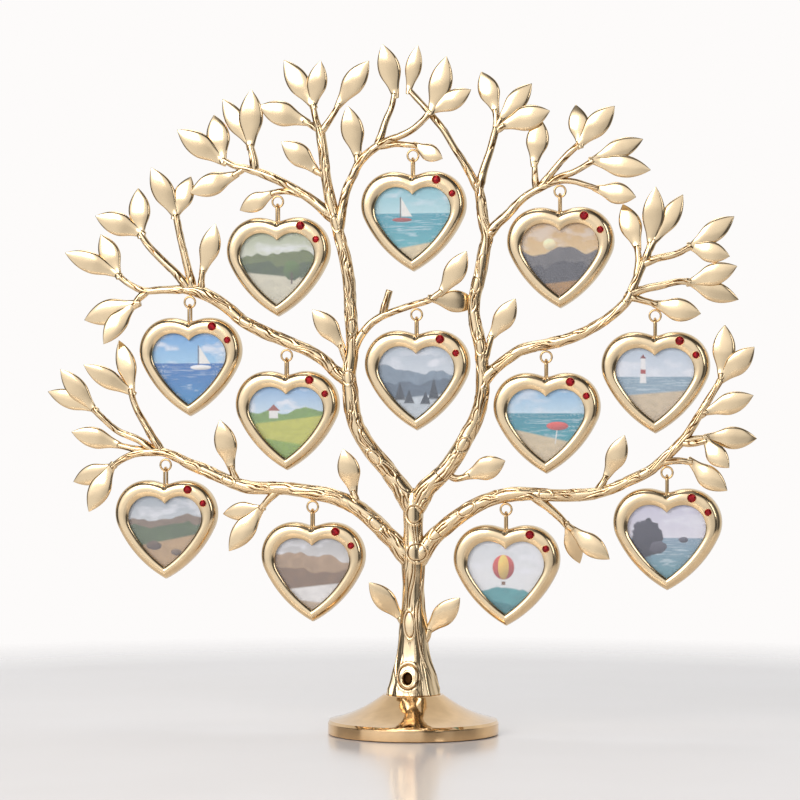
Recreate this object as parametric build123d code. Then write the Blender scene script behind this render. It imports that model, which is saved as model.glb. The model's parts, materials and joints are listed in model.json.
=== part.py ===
from build123d import *
import os
from math import cos, hypot, pi, radians, sin

# A photo tree: a cast metal tree on a round foot. Twelve heart-shaped frames hang from it.
# Origin at the middle of the foot's underside. +Z is up, the frames face -Y. Millimetres.

# Tree: its height, and the share of it that the foot had on the drawing that the shares come from
TREE_HEIGHT = 345.0
FOOT_SHARE = 0.0574
TRUNK_SIDES = 10
LIMB_SIDES = 8
TWIG_SIDES = 6
TENON_LENGTH = 5.0
TENON_SHARE = 0.45
TENON_CLEARANCE = 0.1

# Leaves
LEAF_THICKNESS_SHARE = 0.40
LEAF_TIP_RADIUS = 0.35
leaf_station_shares = (0.0, 0.22, 0.50, 0.72, 0.90, 1.0)
leaf_width_shares = (0.30, 0.52, 1.0, 0.88, 0.42, 0.08)

# Foot
BASE_RADIUS = 42.7
BASE_RIM_HEIGHT = 6.0
BASE_LIP = 1.2
BASE_TOP_HEIGHT = 19.8
BASE_NECK_RADIUS = 15.0
BASE_WAIST_RADIUS = 26.0
BASE_WAIST_HEIGHT = 12.8
FELT_RADIUS = 40.0
FELT_THICKNESS = 1.2
FELT_PROUD = 0.4
FELT_CLEARANCE = 0.1

# Foot screw
SCREW_RADIUS = 2.5
SCREW_HEAD_RADIUS = 4.5
SCREW_HEAD_HEIGHT = 4.0
SCREW_SLOT_WIDTH = 1.2
SCREW_SLOT_DEPTH = 1.5
SCREW_BITE = 12.0
SCREW_CLEARANCE = 0.15
SCREW_HEAD_SEAT = 9.0

# Hollow knot at the trunk's foot
KNOT_HEIGHT_SHARE = 0.083
KNOT_RADIUS = 3.4
KNOT_DEPTH = 4.0
KNOT_RIM = 1.3

# Hanger: ring, oblong link, eye
RING_RADIUS = 2.78
RING_WIRE_RADIUS = 0.55
RING_SEAT_GAP = 0.05
LINK_WIRE_RADIUS = 0.6
LINK_REACH = 10.2
LINK_HALF_WIDTH = 2.5
EYE_RADIUS = 1.6
EYE_WIRE_RADIUS = 0.5
EYE_DROP = 4.05
EYE_BORE_MARGIN = 0.02
HANG_GAP = 0.25
LINK_RELIEF_RADIUS = 1.85
WIRE_SIDES = 6
RING_CORNERS = 12

# Heart outlines, measured down from the top of the lobes
HEART_LOBE_X = 10.2
HEART_LOBE_RADIUS = 16.6
HEART_HEIGHT = 50.1
HEART_SHOULDER_ANGLE = 25.0
WINDOW_LOBE_X = 8.3
WINDOW_LOBE_RADIUS = 11.0
WINDOW_TOP_DROP = 8.1
WINDOW_HEIGHT = 36.0
WINDOW_SHOULDER_ANGLE = 29.0
LOBE_FACETS = 7
HEART_SIDE_FACETS = 4

# Heart depth, measured forward from the flat back
BEZEL_WALL_HEIGHT = 1.8
BEZEL_CREST_HEIGHT = 7.0
BEZEL_LIP_HEIGHT = 6.2
BEZEL_LIP_THICKNESS = 1.2
BEZEL_CREST_SHARE = 0.66
EYE_DEPTH = 3.7
bezel_station_shares = (0.28, BEZEL_CREST_SHARE)

# What lies inside a heart, from the window to the back cover
CAVITY_SHARE = 0.30
COVER_SHARE = 0.32
POCKET_SHARE = 0.60
LENS_SHARE = 0.62
PAD_SHARE = 0.66
DISH_SHARE = 0.74
LENS_THICKNESS = 0.6
PRINT_THICKNESS = 0.3
INSERT_CLEARANCE = 0.05
COVER_THICKNESS = 0.8
PAD_WALL = 0.6
CAVITY_STEP = 2.2

# Stones set in the bezel: across, then place from the heart's middle and lobe top
LARGE_STONE_RADIUS = 2.0
SMALL_STONE_RADIUS = 1.6
LARGE_STONE_X = 12.5
LARGE_STONE_DROP = 4.6
SMALL_STONE_X = 20.5
SMALL_STONE_DROP = 11.55
STONE_SEAT_DEPTH = 0.7
STONE_GIRDLE = 0.8
STONE_CROWN = 0.7
STONE_TABLE_SHARE = 0.55
STONE_CLEARANCE = 0.05
STONE_SIDES = 8
stone_places = (
    (LARGE_STONE_RADIUS, LARGE_STONE_X, LARGE_STONE_DROP),
    (SMALL_STONE_RADIUS, SMALL_STONE_X, SMALL_STONE_DROP),
)

# What follows from the sizes above
EYE_HOLE_RADIUS = EYE_RADIUS - EYE_WIRE_RADIUS
EYE_BORE_RADIUS = EYE_HOLE_RADIUS * cos(pi / RING_CORNERS) - EYE_BORE_MARGIN
LINK_TOP = RING_WIRE_RADIUS + HANG_GAP + LINK_WIRE_RADIUS
HEART_RISE = LINK_WIRE_RADIUS + HANG_GAP - EYE_HOLE_RADIUS + EYE_DROP
LENS_SEAT = BEZEL_LIP_HEIGHT - BEZEL_LIP_THICKNESS
POCKET_STEP = LENS_SEAT - LENS_THICKNESS - PRINT_THICKNESS - 4 * INSERT_CLEARANCE
STONE_SEAT = BEZEL_CREST_HEIGHT - STONE_SEAT_DEPTH

# Routes of the limbs and twigs: x, z and thickness at each point, as shares of the tree's height.
trunk_girth_shares = (
    (FOOT_SHARE, 0.0390), (0.075, 0.0335), (0.092, 0.0298), (0.109, 0.0248), (0.130, 0.0215),
    (0.159, 0.0203), (0.185, 0.0168), (0.215, 0.0156), (0.245, 0.0168), (0.270, 0.0165),
    (0.292, 0.0142), (0.320, 0.0142), (0.338, 0.0138),
)
trunk_route_shares = {
    "left_limb_stub": ((0.000, 0.318, 0.0250), (-0.012, 0.346, 0.0258), (-0.023, 0.362, 0.0252),
                       (-0.035, 0.378, 0.0246)),
    "right_limb_stub": ((0.002, 0.318, 0.0250), (0.020, 0.356, 0.0258), (0.040, 0.374, 0.0252)),
    "left_low_stub": ((0.000, 0.240, 0.0240), (-0.0145, 0.263, 0.0248), (-0.0275, 0.2785, 0.0250),
                      (-0.041, 0.2905, 0.0248)),
    "right_low_stub": ((0.002, 0.240, 0.0230), (0.0135, 0.262, 0.0240), (0.024, 0.277, 0.0240),
                       (0.038, 0.292, 0.0238)),
    "left_leaf_stem": ((-0.008, 0.152, 0.0110), (-0.0205, 0.169, 0.0100)),
    "right_leaf_stem": ((0.010, 0.126, 0.0115), (0.0205, 0.142, 0.0105), (0.0235, 0.152, 0.0095)),
}
left_limb_route_shares = {
    "limb": ((-0.035, 0.378, 0.0246), (-0.066, 0.415, 0.0243), (-0.086, 0.450, 0.0232),
             (-0.0935, 0.496, 0.0222), (-0.0955, 0.5195, 0.0215), (-0.0905, 0.560, 0.0182),
             (-0.0935, 0.6135, 0.0190), (-0.0965, 0.662, 0.0180), (-0.1105, 0.725, 0.0170),
             (-0.122, 0.767, 0.0165), (-0.1305, 0.812, 0.0152), (-0.136, 0.859, 0.0145),
             (-0.140, 0.881, 0.0130)),
    "middle_stub": ((-0.0945, 0.506, 0.0185), (-0.104, 0.5165, 0.0180), (-0.1185, 0.5275, 0.0175)),
    "sprig_stub": ((-0.0905, 0.548, 0.0125), (-0.0865, 0.561, 0.0122), (-0.0735, 0.583, 0.0118)),
    "lone_leaf_stem": ((-0.0945, 0.528, 0.0100), (-0.1025, 0.548, 0.0090), (-0.109, 0.564, 0.0082)),
    "outer_branch": ((-0.117, 0.746, 0.0160), (-0.140, 0.767, 0.0150), (-0.1825, 0.795, 0.0135),
                     (-0.223, 0.814, 0.0122), (-0.249, 0.8225, 0.0112), (-0.270, 0.828, 0.0095),
                     (-0.287, 0.8375, 0.0080)),
    "outer_low_stem": ((-0.252, 0.823, 0.0090), (-0.271, 0.8125, 0.0080)),
    "hook_stem": ((-0.160, 0.781, 0.0100), (-0.185, 0.788, 0.0088), (-0.203, 0.788, 0.0085),
                  (-0.213, 0.785, 0.0080)),
    "outer_up_stem": ((-0.236, 0.818, 0.0120), (-0.240, 0.840, 0.0115), (-0.2445, 0.858, 0.0100)),
    "side_stem": ((-0.131, 0.810, 0.0100), (-0.148, 0.820, 0.0085)),
    "top_left_stem": ((-0.139, 0.876, 0.0100), (-0.149, 0.883, 0.0092), (-0.164, 0.891, 0.0080)),
    "top_stem": ((-0.1395, 0.874, 0.0105), (-0.1445, 0.890, 0.0095), (-0.150, 0.915, 0.0085)),
    "top_right_stem": ((-0.1385, 0.872, 0.0105), (-0.120, 0.8985, 0.0088), (-0.109, 0.916, 0.0080)),
    "inner_branch": ((-0.111, 0.727, 0.0150), (-0.106, 0.762, 0.0135), (-0.100, 0.788, 0.0130),
                     (-0.090, 0.8095, 0.0130), (-0.080, 0.829, 0.0128), (-0.065, 0.844, 0.0125),
                     (-0.051, 0.854, 0.0118)),
    "inner_leaf_stem": ((-0.082, 0.822, 0.0100), (-0.0835, 0.841, 0.0085)),
    "inner_up_branch": ((-0.055, 0.850, 0.0112), (-0.047, 0.870, 0.0105), (-0.041, 0.889, 0.0098),
                        (-0.033, 0.908, 0.0090), (-0.0285, 0.929, 0.0085)),
    "crossing_branch": ((-0.054, 0.851, 0.0110), (-0.035, 0.861, 0.0105), (-0.017, 0.867, 0.0100),
                        (0.001, 0.876, 0.0098), (0.015, 0.887, 0.0095), (0.028, 0.902, 0.0088)),
    "first_ring_stem": ((-0.053, 0.851, 0.0098), (-0.026, 0.855, 0.0088), (-0.009, 0.8535, 0.0085),
                        (0.006, 0.8520, 0.0080)),
}
right_limb_route_shares = {
    "limb": ((0.040, 0.374, 0.0252), (0.0555, 0.392, 0.0245), (0.077, 0.427, 0.0235),
             (0.0935, 0.460, 0.0210), (0.1015, 0.490, 0.0195), (0.102, 0.520, 0.0190),
             (0.100, 0.5535, 0.0185), (0.0893, 0.6125, 0.0180), (0.091, 0.634, 0.0182),
             (0.097, 0.658, 0.0180), (0.1035, 0.695, 0.0178), (0.1085, 0.720, 0.0175),
             (0.104, 0.740, 0.0160), (0.099, 0.775, 0.0150), (0.096, 0.791, 0.0135)),
    "low_leaf_stem": ((0.0505, 0.3765, 0.0110), (0.0605, 0.3705, 0.0095), (0.075, 0.372, 0.0088),
                      (0.083, 0.3755, 0.0082)),
    "middle_stub": ((0.102, 0.505, 0.0175), (0.110, 0.519, 0.0170), (0.120, 0.5285, 0.0165)),
    "lone_leaf_stem": ((0.101, 0.535, 0.0105), (0.107, 0.5475, 0.0095), (0.1115, 0.5625, 0.0090),
                       (0.116, 0.577, 0.0082)),
    "crossing_branch": ((0.0975, 0.783, 0.0125), (0.079, 0.819, 0.0112), (0.059, 0.850, 0.0105),
                        (0.043, 0.876, 0.0100), (0.0315, 0.890, 0.0095), (0.0135, 0.911, 0.0090),
                        (0.004, 0.921, 0.0088), (-0.007, 0.933, 0.0083)),
    "up_branch": ((0.0965, 0.785, 0.0125), (0.1045, 0.818, 0.0118), (0.1125, 0.841, 0.0112),
                  (0.118, 0.861, 0.0110), (0.1225, 0.877, 0.0105)),
    "up_left_stem": ((0.1205, 0.868, 0.0090), (0.122, 0.885, 0.0088), (0.1195, 0.903, 0.0080)),
    "up_middle_stem": ((0.122, 0.875, 0.0085), (0.130, 0.890, 0.0080)),
    "up_right_stem": ((0.121, 0.870, 0.0095), (0.135, 0.880, 0.0088)),
    "side_branch": ((0.108, 0.716, 0.0145), (0.122, 0.736, 0.0138), (0.136, 0.748, 0.0132),
                    (0.152, 0.765, 0.0125), (0.166, 0.777, 0.0118), (0.182, 0.786, 0.0110),
                    (0.1975, 0.793, 0.0095), (0.215, 0.7975, 0.0085), (0.235, 0.7965, 0.0085),
                    (0.254, 0.791, 0.0085), (0.271, 0.785, 0.0082)),
    "side_up_stem": ((0.180, 0.784, 0.0098), (0.1785, 0.810, 0.0088), (0.178, 0.827, 0.0080)),
    "side_long_branch": ((0.184, 0.787, 0.0100), (0.200, 0.806, 0.0098), (0.228, 0.837, 0.0094),
                         (0.2435, 0.850, 0.0090)),
    "side_middle_branch": ((0.195, 0.792, 0.0095), (0.216, 0.804, 0.0095), (0.233, 0.8095, 0.0092),
                           (0.248, 0.817, 0.0090), (0.264, 0.8265, 0.0085)),
}
left_low_route_shares = {
    "branch": ((-0.041, 0.2905, 0.0248), (-0.055, 0.304, 0.0246), (-0.075, 0.321, 0.0238),
               (-0.0955, 0.334, 0.0230), (-0.120, 0.3425, 0.0222), (-0.150, 0.3485, 0.0208),
               (-0.193, 0.3545, 0.0192), (-0.221, 0.3545, 0.0188), (-0.248, 0.356, 0.0185),
               (-0.270, 0.3625, 0.0182), (-0.317, 0.382, 0.0170), (-0.3375, 0.390, 0.0155),
               (-0.358, 0.400, 0.0138), (-0.376, 0.4062, 0.0132), (-0.395, 0.407, 0.0125),
               (-0.416, 0.405, 0.0108), (-0.441, 0.395, 0.0098), (-0.457, 0.384, 0.0090)),
    "near_leaf_stem": ((-0.083, 0.328, 0.0110), (-0.0865, 0.342, 0.0095), (-0.0895, 0.352, 0.0085)),
    "hanging_branch": ((-0.198, 0.354, 0.0110), (-0.2145, 0.340, 0.0098), (-0.229, 0.323, 0.0090)),
    "far_leaf_stem": ((-0.262, 0.3605, 0.0110), (-0.270, 0.376, 0.0095), (-0.2735, 0.387, 0.0085)),
    "rising_branch": ((-0.378, 0.407, 0.0115), (-0.395, 0.431, 0.0112), (-0.406, 0.449, 0.0108),
                      (-0.418, 0.469, 0.0102), (-0.4265, 0.492, 0.0092), (-0.4285, 0.500, 0.0085)),
    "leaning_branch": ((-0.390, 0.408, 0.0115), (-0.412, 0.423, 0.0108), (-0.449, 0.439, 0.0100),
                       (-0.466, 0.453, 0.0098), (-0.485, 0.471, 0.0090)),
    "level_stem": ((-0.402, 0.408, 0.0100), (-0.429, 0.413, 0.0092), (-0.447, 0.417, 0.0085)),
}
right_low_route_shares = {
    "branch": ((0.038, 0.292, 0.0238), (0.0535, 0.305, 0.0234), (0.071, 0.318, 0.0230),
               (0.091, 0.330, 0.0220), (0.111, 0.3395, 0.0210), (0.131, 0.3455, 0.0205),
               (0.1505, 0.3485, 0.0200), (0.174, 0.3485, 0.0192), (0.1975, 0.347, 0.0186),
               (0.245, 0.3475, 0.0172), (0.266, 0.350, 0.0165), (0.282, 0.354, 0.0160),
               (0.310, 0.366, 0.0150), (0.346, 0.384, 0.0146), (0.369, 0.4045, 0.0140),
               (0.3925, 0.4275, 0.0130), (0.414, 0.4605, 0.0115), (0.435, 0.495, 0.0098),
               (0.446, 0.512, 0.0090)),
    "hanging_branch": ((0.173, 0.3465, 0.0125), (0.1975, 0.330, 0.0118), (0.2135, 0.316, 0.0112),
                       (0.2255, 0.303, 0.0102)),
    "hanging_side_stem": ((0.221, 0.307, 0.0090), (0.235, 0.297, 0.0085)),
    "near_leaf_stem": ((0.266, 0.350, 0.0115), (0.277, 0.365, 0.0098), (0.2825, 0.376, 0.0085)),
    "last_ring_stem": ((0.357, 0.392, 0.0105), (0.369, 0.3958, 0.0098), (0.387, 0.397, 0.0095),
                       (0.406, 0.3945, 0.0085)),
    "curled_stem": ((0.387, 0.4225, 0.0092), (0.406, 0.4215, 0.0088), (0.427, 0.426, 0.0082)),
    "level_stem": ((0.389, 0.4235, 0.0095), (0.410, 0.4285, 0.0088), (0.430, 0.4305, 0.0080)),
    "high_stem": ((0.412, 0.458, 0.0095), (0.427, 0.4675, 0.0080)),
    "tip_stem": ((0.445, 0.509, 0.0085), (0.4465, 0.522, 0.0078)),
}
left_middle_route_shares = {
    "branch": ((-0.1185, 0.5275, 0.0175), (-0.1325, 0.541, 0.0175), (-0.1505, 0.5525, 0.0178),
               (-0.189, 0.5690, 0.0180), (-0.225, 0.584, 0.0182), (-0.259, 0.602, 0.0184),
               (-0.275, 0.616, 0.0182), (-0.306, 0.636, 0.0180), (-0.326, 0.6440, 0.0172),
               (-0.345, 0.6465, 0.0130)),
    "inner_leaf_stem": ((-0.3175, 0.640, 0.0105), (-0.3185, 0.657, 0.0095), (-0.316, 0.675, 0.0085)),
    "upright_branch": ((-0.3305, 0.645, 0.0118), (-0.342, 0.688, 0.0115), (-0.350, 0.720, 0.0110),
                       (-0.355, 0.744, 0.0105), (-0.358, 0.757, 0.0095)),
    "leaning_branch": ((-0.335, 0.645, 0.0125), (-0.358, 0.671, 0.0120), (-0.383, 0.694, 0.0115),
                       (-0.404, 0.717, 0.0105), (-0.4125, 0.7305, 0.0095)),
    "level_branch": ((-0.340, 0.6465, 0.0125), (-0.375, 0.646, 0.0115), (-0.410, 0.646, 0.0105),
                     (-0.429, 0.655, 0.0095), (-0.4485, 0.670, 0.0088)),
    "falling_branch": ((-0.400, 0.6445, 0.0105), (-0.415, 0.632, 0.0100), (-0.421, 0.622, 0.0092)),
}
right_middle_route_shares = {
    "branch": ((0.120, 0.5285, 0.0165), (0.1425, 0.546, 0.0163), (0.156, 0.5545, 0.0162),
               (0.170, 0.5590, 0.0162), (0.1945, 0.5635, 0.0162), (0.2225, 0.570, 0.0160),
               (0.242, 0.577, 0.0157), (0.271, 0.592, 0.0148), (0.300, 0.613, 0.0138),
               (0.311, 0.625, 0.0138), (0.324, 0.653, 0.0125), (0.336, 0.681, 0.0112)),
    "ring_stem": ((0.311, 0.629, 0.0105), (0.322, 0.629, 0.0100), (0.336, 0.625, 0.0095),
                  (0.356, 0.6195, 0.0085)),
    "low_branch": ((0.314, 0.634, 0.0115), (0.331, 0.640, 0.0110), (0.362, 0.647, 0.0105),
                   (0.389, 0.652, 0.0098), (0.404, 0.651, 0.0088)),
    "inner_leaf_stem": ((0.325, 0.655, 0.0108), (0.328, 0.683, 0.0095), (0.325, 0.704, 0.0085)),
    "upright_stem": ((0.335, 0.678, 0.0108), (0.342, 0.694, 0.0100), (0.346, 0.709, 0.0085)),
    "upright_side_stem": ((0.340, 0.690, 0.0090), (0.352, 0.712, 0.0080)),
    "high_branch": ((0.334, 0.676, 0.0108), (0.348, 0.683, 0.0104), (0.381, 0.691, 0.0096),
                    (0.405, 0.7025, 0.0088)),
}
sprig_route_shares = {
    "twig": ((-0.0735, 0.583, 0.0118), (-0.0625, 0.595, 0.0114), (-0.050, 0.6035, 0.0110),
             (-0.032, 0.611, 0.0108), (0.001, 0.6215, 0.0100), (0.016, 0.6255, 0.0100),
             (0.030, 0.6305, 0.0092)),
    "cut_stub": ((-0.047, 0.605, 0.0105), (-0.043, 0.617, 0.0102), (-0.035, 0.643, 0.0100)),
    "up_leaf_stem": ((0.025, 0.628, 0.0092), (0.043, 0.642, 0.0080)),
}

# How far a route has come forward (-) or back (+) at its end, as a share of the tree's height.
route_depth_shares = {
    "left_limb crossing_branch": -0.0085,
    "left_limb inner_up_branch": 0.0030,
    "right_limb crossing_branch": 0.0070,
    "right_limb up_left_stem": 0.0040,
    "right_limb side_long_branch": -0.0030,
    "left_middle falling_branch": -0.0050,
    "left_low rising_branch": 0.0040,
    "right_low curled_stem": -0.0045,
    "right_middle inner_leaf_stem": 0.0050,
}

# Leaves: foot x, foot z, tip x, tip z, width, tip depth, sideways bow, all as shares of the tree's height.
trunk_leaf_shares = (
    (-0.0205, 0.170, -0.0635, 0.219, 0.0310, -0.010, 0.000),
    (0.0230, 0.151, 0.0700, 0.198, 0.0320, -0.006, 0.000),
)
left_limb_leaf_shares = (
    (-0.109, 0.564, -0.1495, 0.615, 0.0320, -0.004, 0.002),
    (-0.288, 0.8355, -0.354, 0.881, 0.0350, -0.004, 0.000),
    (-0.287, 0.840, -0.301, 0.903, 0.0350, 0.006, 0.000),
    (-0.271, 0.8125, -0.334, 0.788, 0.0340, -0.004, 0.000),
    (-0.213, 0.785, -0.261, 0.762, 0.0280, 0.004, 0.000),
    (-0.2455, 0.860, -0.2875, 0.926, 0.0300, 0.006, 0.000),
    (-0.2440, 0.859, -0.2415, 0.938, 0.0365, -0.004, 0.000),
    (-0.148, 0.820, -0.196, 0.861, 0.0330, -0.004, 0.002),
    (-0.164, 0.891, -0.230, 0.914, 0.0360, -0.003, 0.000),
    (-0.151, 0.916, -0.194, 0.981, 0.0330, 0.004, 0.000),
    (-0.149, 0.916, -0.137, 0.978, 0.0300, -0.004, 0.000),
    (-0.109, 0.916, -0.065, 0.976, 0.0330, -0.004, -0.001),
    (-0.0835, 0.841, -0.0965, 0.911, 0.0340, -0.006, 0.000),
    (-0.0285, 0.930, -0.045, 0.9995, 0.0330, -0.004, 0.001),
    (0.029, 0.904, 0.051, 0.979, 0.0340, -0.010, 0.002),
    (0.031, 0.903, 0.087, 0.9305, 0.0290, -0.010, 0.001),
    (0.006, 0.852, 0.0445, 0.832, 0.0250, -0.006, 0.001),
)
right_limb_leaf_shares = (
    (0.083, 0.3755, 0.136, 0.396, 0.0340, -0.004, 0.000),
    (0.116, 0.577, 0.151, 0.629, 0.0310, -0.004, 0.001),
    (-0.008, 0.934, 0.006, 0.998, 0.0240, 0.004, 0.000),
    (0.1195, 0.903, 0.0985, 0.958, 0.0310, 0.009, 0.001),
    (0.130, 0.890, 0.173, 0.939, 0.0290, 0.006, 0.000),
    (0.135, 0.880, 0.201, 0.898, 0.0360, -0.005, 0.000),
    (0.271, 0.785, 0.3255, 0.7725, 0.0310, -0.007, 0.000),
    (0.178, 0.827, 0.186, 0.888, 0.0330, 0.003, 0.000),
    (0.2445, 0.852, 0.237, 0.907, 0.0300, 0.005, 0.001),
    (0.2455, 0.851, 0.2945, 0.903, 0.0330, -0.005, -0.001),
    (0.265, 0.828, 0.334, 0.856, 0.0290, 0.005, 0.000),
    (0.265, 0.826, 0.346, 0.811, 0.0320, -0.004, 0.001),
)
left_low_leaf_shares = (
    (-0.0895, 0.352, -0.1035, 0.412, 0.0330, -0.004, 0.001),
    (-0.2285, 0.3245, -0.287, 0.316, 0.0270, 0.006, 0.000),
    (-0.2295, 0.322, -0.275, 0.262, 0.0330, -0.005, 0.001),
    (-0.2735, 0.387, -0.289, 0.454, 0.0335, -0.004, 0.000),
    (-0.4275, 0.498, -0.448, 0.572, 0.0300, 0.010, 0.002),
    (-0.4275, 0.495, -0.498, 0.5355, 0.0290, -0.005, 0.000),
    (-0.485, 0.471, -0.534, 0.529, 0.0300, -0.005, 0.000),
    (-0.484, 0.470, -0.557, 0.496, 0.0280, 0.006, 0.001),
    (-0.447, 0.417, -0.517, 0.436, 0.0310, -0.004, 0.001),
    (-0.457, 0.384, -0.517, 0.362, 0.0300, 0.005, 0.000),
    (-0.457, 0.383, -0.490, 0.318, 0.0330, -0.005, 0.001),
)
right_low_leaf_shares = (
    (0.2265, 0.303, 0.2415, 0.2485, 0.0255, 0.014, 0.001),
    (0.235, 0.297, 0.287, 0.256, 0.0310, -0.004, 0.001),
    (0.2825, 0.376, 0.309, 0.433, 0.0300, -0.004, 0.001),
    (0.406, 0.3945, 0.455, 0.355, 0.0320, -0.004, 0.002),
    (0.427, 0.426, 0.4585, 0.3875, 0.0290, -0.012, 0.003),
    (0.430, 0.4305, 0.496, 0.429, 0.0320, 0.004, 0.000),
    (0.427, 0.4675, 0.492, 0.490, 0.0310, -0.004, 0.000),
    (0.4465, 0.522, 0.451, 0.590, 0.0325, 0.004, 0.001),
    (0.447, 0.513, 0.4935, 0.5585, 0.0310, -0.005, 0.000),
)
left_middle_leaf_shares = (
    (-0.316, 0.675, -0.296, 0.742, 0.0310, -0.004, 0.001),
    (-0.359, 0.758, -0.394, 0.826, 0.0330, -0.004, 0.000),
    (-0.358, 0.757, -0.336, 0.813, 0.0310, 0.006, 0.000),
    (-0.4135, 0.7305, -0.480, 0.756, 0.0340, -0.004, 0.001),
    (-0.412, 0.731, -0.417, 0.797, 0.0330, 0.006, 0.000),
    (-0.449, 0.670, -0.527, 0.702, 0.0310, -0.004, 0.001),
    (-0.448, 0.671, -0.475, 0.729, 0.0320, 0.006, 0.001),
    (-0.420, 0.624, -0.497, 0.602, 0.0370, -0.004, 0.001),
    (-0.421, 0.622, -0.464, 0.566, 0.0310, -0.015, 0.004),
)
right_middle_leaf_shares = (
    (0.356, 0.6195, 0.4175, 0.606, 0.0330, -0.004, 0.001),
    (0.403, 0.651, 0.470, 0.626, 0.0290, 0.006, 0.001),
    (0.404, 0.651, 0.469, 0.673, 0.0310, -0.004, 0.000),
    (0.325, 0.704, 0.304, 0.764, 0.0320, 0.012, 0.001),
    (0.346, 0.709, 0.3535, 0.787, 0.0320, -0.004, 0.000),
    (0.352, 0.712, 0.391, 0.776, 0.0280, 0.006, 0.001),
    (0.405, 0.703, 0.464, 0.744, 0.0295, 0.005, 0.001),
    (0.405, 0.702, 0.4585, 0.687, 0.0300, -0.004, 0.001),
)
sprig_leaf_shares = (
    (0.043, 0.642, 0.0795, 0.698, 0.0320, -0.004, 0.001),
    (0.030, 0.6305, 0.092, 0.6225, 0.0320, 0.0185, 0.000),
)

# Where the rings hang: casting, route, x, and how much lower a bend or a leaf's foot beside the ring
# pushes it. Both are shares of the tree's height.
ring_place_shares = (
    ("left_limb", "first_ring_stem", -0.0004, 0.0010),
    ("left_limb", "hook_stem", -0.2025, 0.0004),
    ("right_limb", "side_branch", 0.2150, 0.0001),
    ("left_middle", "branch", -0.3360, 0.0004),
    ("left_middle", "branch", -0.1890, 0.0001),
    ("centre_sprig", "twig", 0.0050, 0.0001),
    ("right_middle", "branch", 0.1950, 0.0000),
    ("right_middle", "ring_stem", 0.3520, 0.0025),
    ("left_low", "branch", -0.3730, 0.0001),
    ("left_low", "branch", -0.1500, 0.0003),
    ("right_low", "branch", 0.1365, 0.0001),
    ("right_low", "last_ring_stem", 0.3690, 0.0002),
)

route_shares = {
    "trunk": trunk_route_shares,
    "left_limb": left_limb_route_shares,
    "right_limb": right_limb_route_shares,
    "left_low": left_low_route_shares,
    "right_low": right_low_route_shares,
    "left_middle": left_middle_route_shares,
    "right_middle": right_middle_route_shares,
    "centre_sprig": sprig_route_shares,
}
leaf_shares = {
    "trunk": trunk_leaf_shares,
    "left_limb": left_limb_leaf_shares,
    "right_limb": right_limb_leaf_shares,
    "left_low": left_low_leaf_shares,
    "right_low": right_low_leaf_shares,
    "left_middle": left_middle_leaf_shares,
    "right_middle": right_middle_leaf_shares,
    "centre_sprig": sprig_leaf_shares,
}

# Each casting plugs on a stub of another: casting, its first route, the other casting, the stub.
seams = (
    ("left_limb", "limb", "trunk", "left_limb_stub"),
    ("right_limb", "limb", "trunk", "right_limb_stub"),
    ("left_low", "branch", "trunk", "left_low_stub"),
    ("right_low", "branch", "trunk", "right_low_stub"),
    ("left_middle", "branch", "left_limb", "middle_stub"),
    ("right_middle", "branch", "right_limb", "middle_stub"),
    ("centre_sprig", "twig", "left_limb", "sprig_stub"),
)
casting_nodes = (
    ("left_limb", "left_limb"),
    ("right_limb", "right_limb"),
    ("left_low", "left_low_branch"),
    ("right_low", "right_low_branch"),
    ("left_middle", "left_middle_branch"),
    ("right_middle", "right_middle_branch"),
    ("centre_sprig", "centre_sprig"),
)
thick_routes = ("limb", "branch", "left_limb_stub", "right_limb_stub", "left_low_stub",
                "right_low_stub", "middle_stub")


def tree_point(x_share, z_share, depth=0):
    """A point of the tree from its shares. The tree grows from the top of the foot."""
    return Vector(x_share * TREE_HEIGHT, depth, BASE_TOP_HEIGHT + (z_share - FOOT_SHARE) * TREE_HEIGHT)


def route_points(casting, route):
    """The route's points in space, coming forward or going back evenly towards its end."""
    shares = route_shares[casting][route]
    depth = route_depth_shares.get(casting + " " + route, 0) * TREE_HEIGHT
    last = len(shares) - 1
    return [tree_point(x, z, depth * i / last) for i, (x, z, thickness) in enumerate(shares)]


def seam_direction(seam):
    """The direction of the growth where two castings meet."""
    child, child_route, parent, stub = seam
    return (route_points(child, child_route)[1] - route_points(parent, stub)[-2]).normalized()


def polygon_at(point, direction, half_thickness, sides):
    """A polygon across a twig, flat above and below, with the half thickness to its flats."""
    across = (Vector(0, 1, 0) - direction * direction.Y).normalized()
    turn = 180 / sides if sides % 4 == 0 else 0
    plane = Plane(origin=point, x_dir=across, z_dir=direction)
    return plane * RegularPolygon(half_thickness / cos(pi / sides), sides, rotation=turn)


def rod(casting, route):
    """A limb or twig along its route, straight-sided between the points."""
    points = route_points(casting, route)
    shares = route_shares[casting][route]
    sides = LIMB_SIDES if route in thick_routes else TWIG_SIDES
    directions = [(points[min(i + 1, len(points) - 1)] - points[max(i - 1, 0)]).normalized()
                  for i in range(len(points))]
    for seam in seams:
        if seam[:2] == (casting, route):
            directions[0] = seam_direction(seam)
        if seam[2:] == (casting, route):
            directions[-1] = seam_direction(seam)
    sections = [polygon_at(point, direction, thickness * TREE_HEIGHT / 2, sides)
                for point, direction, (x, z, thickness) in zip(points, directions, shares)]
    return loft(sections, ruled=True)


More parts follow.
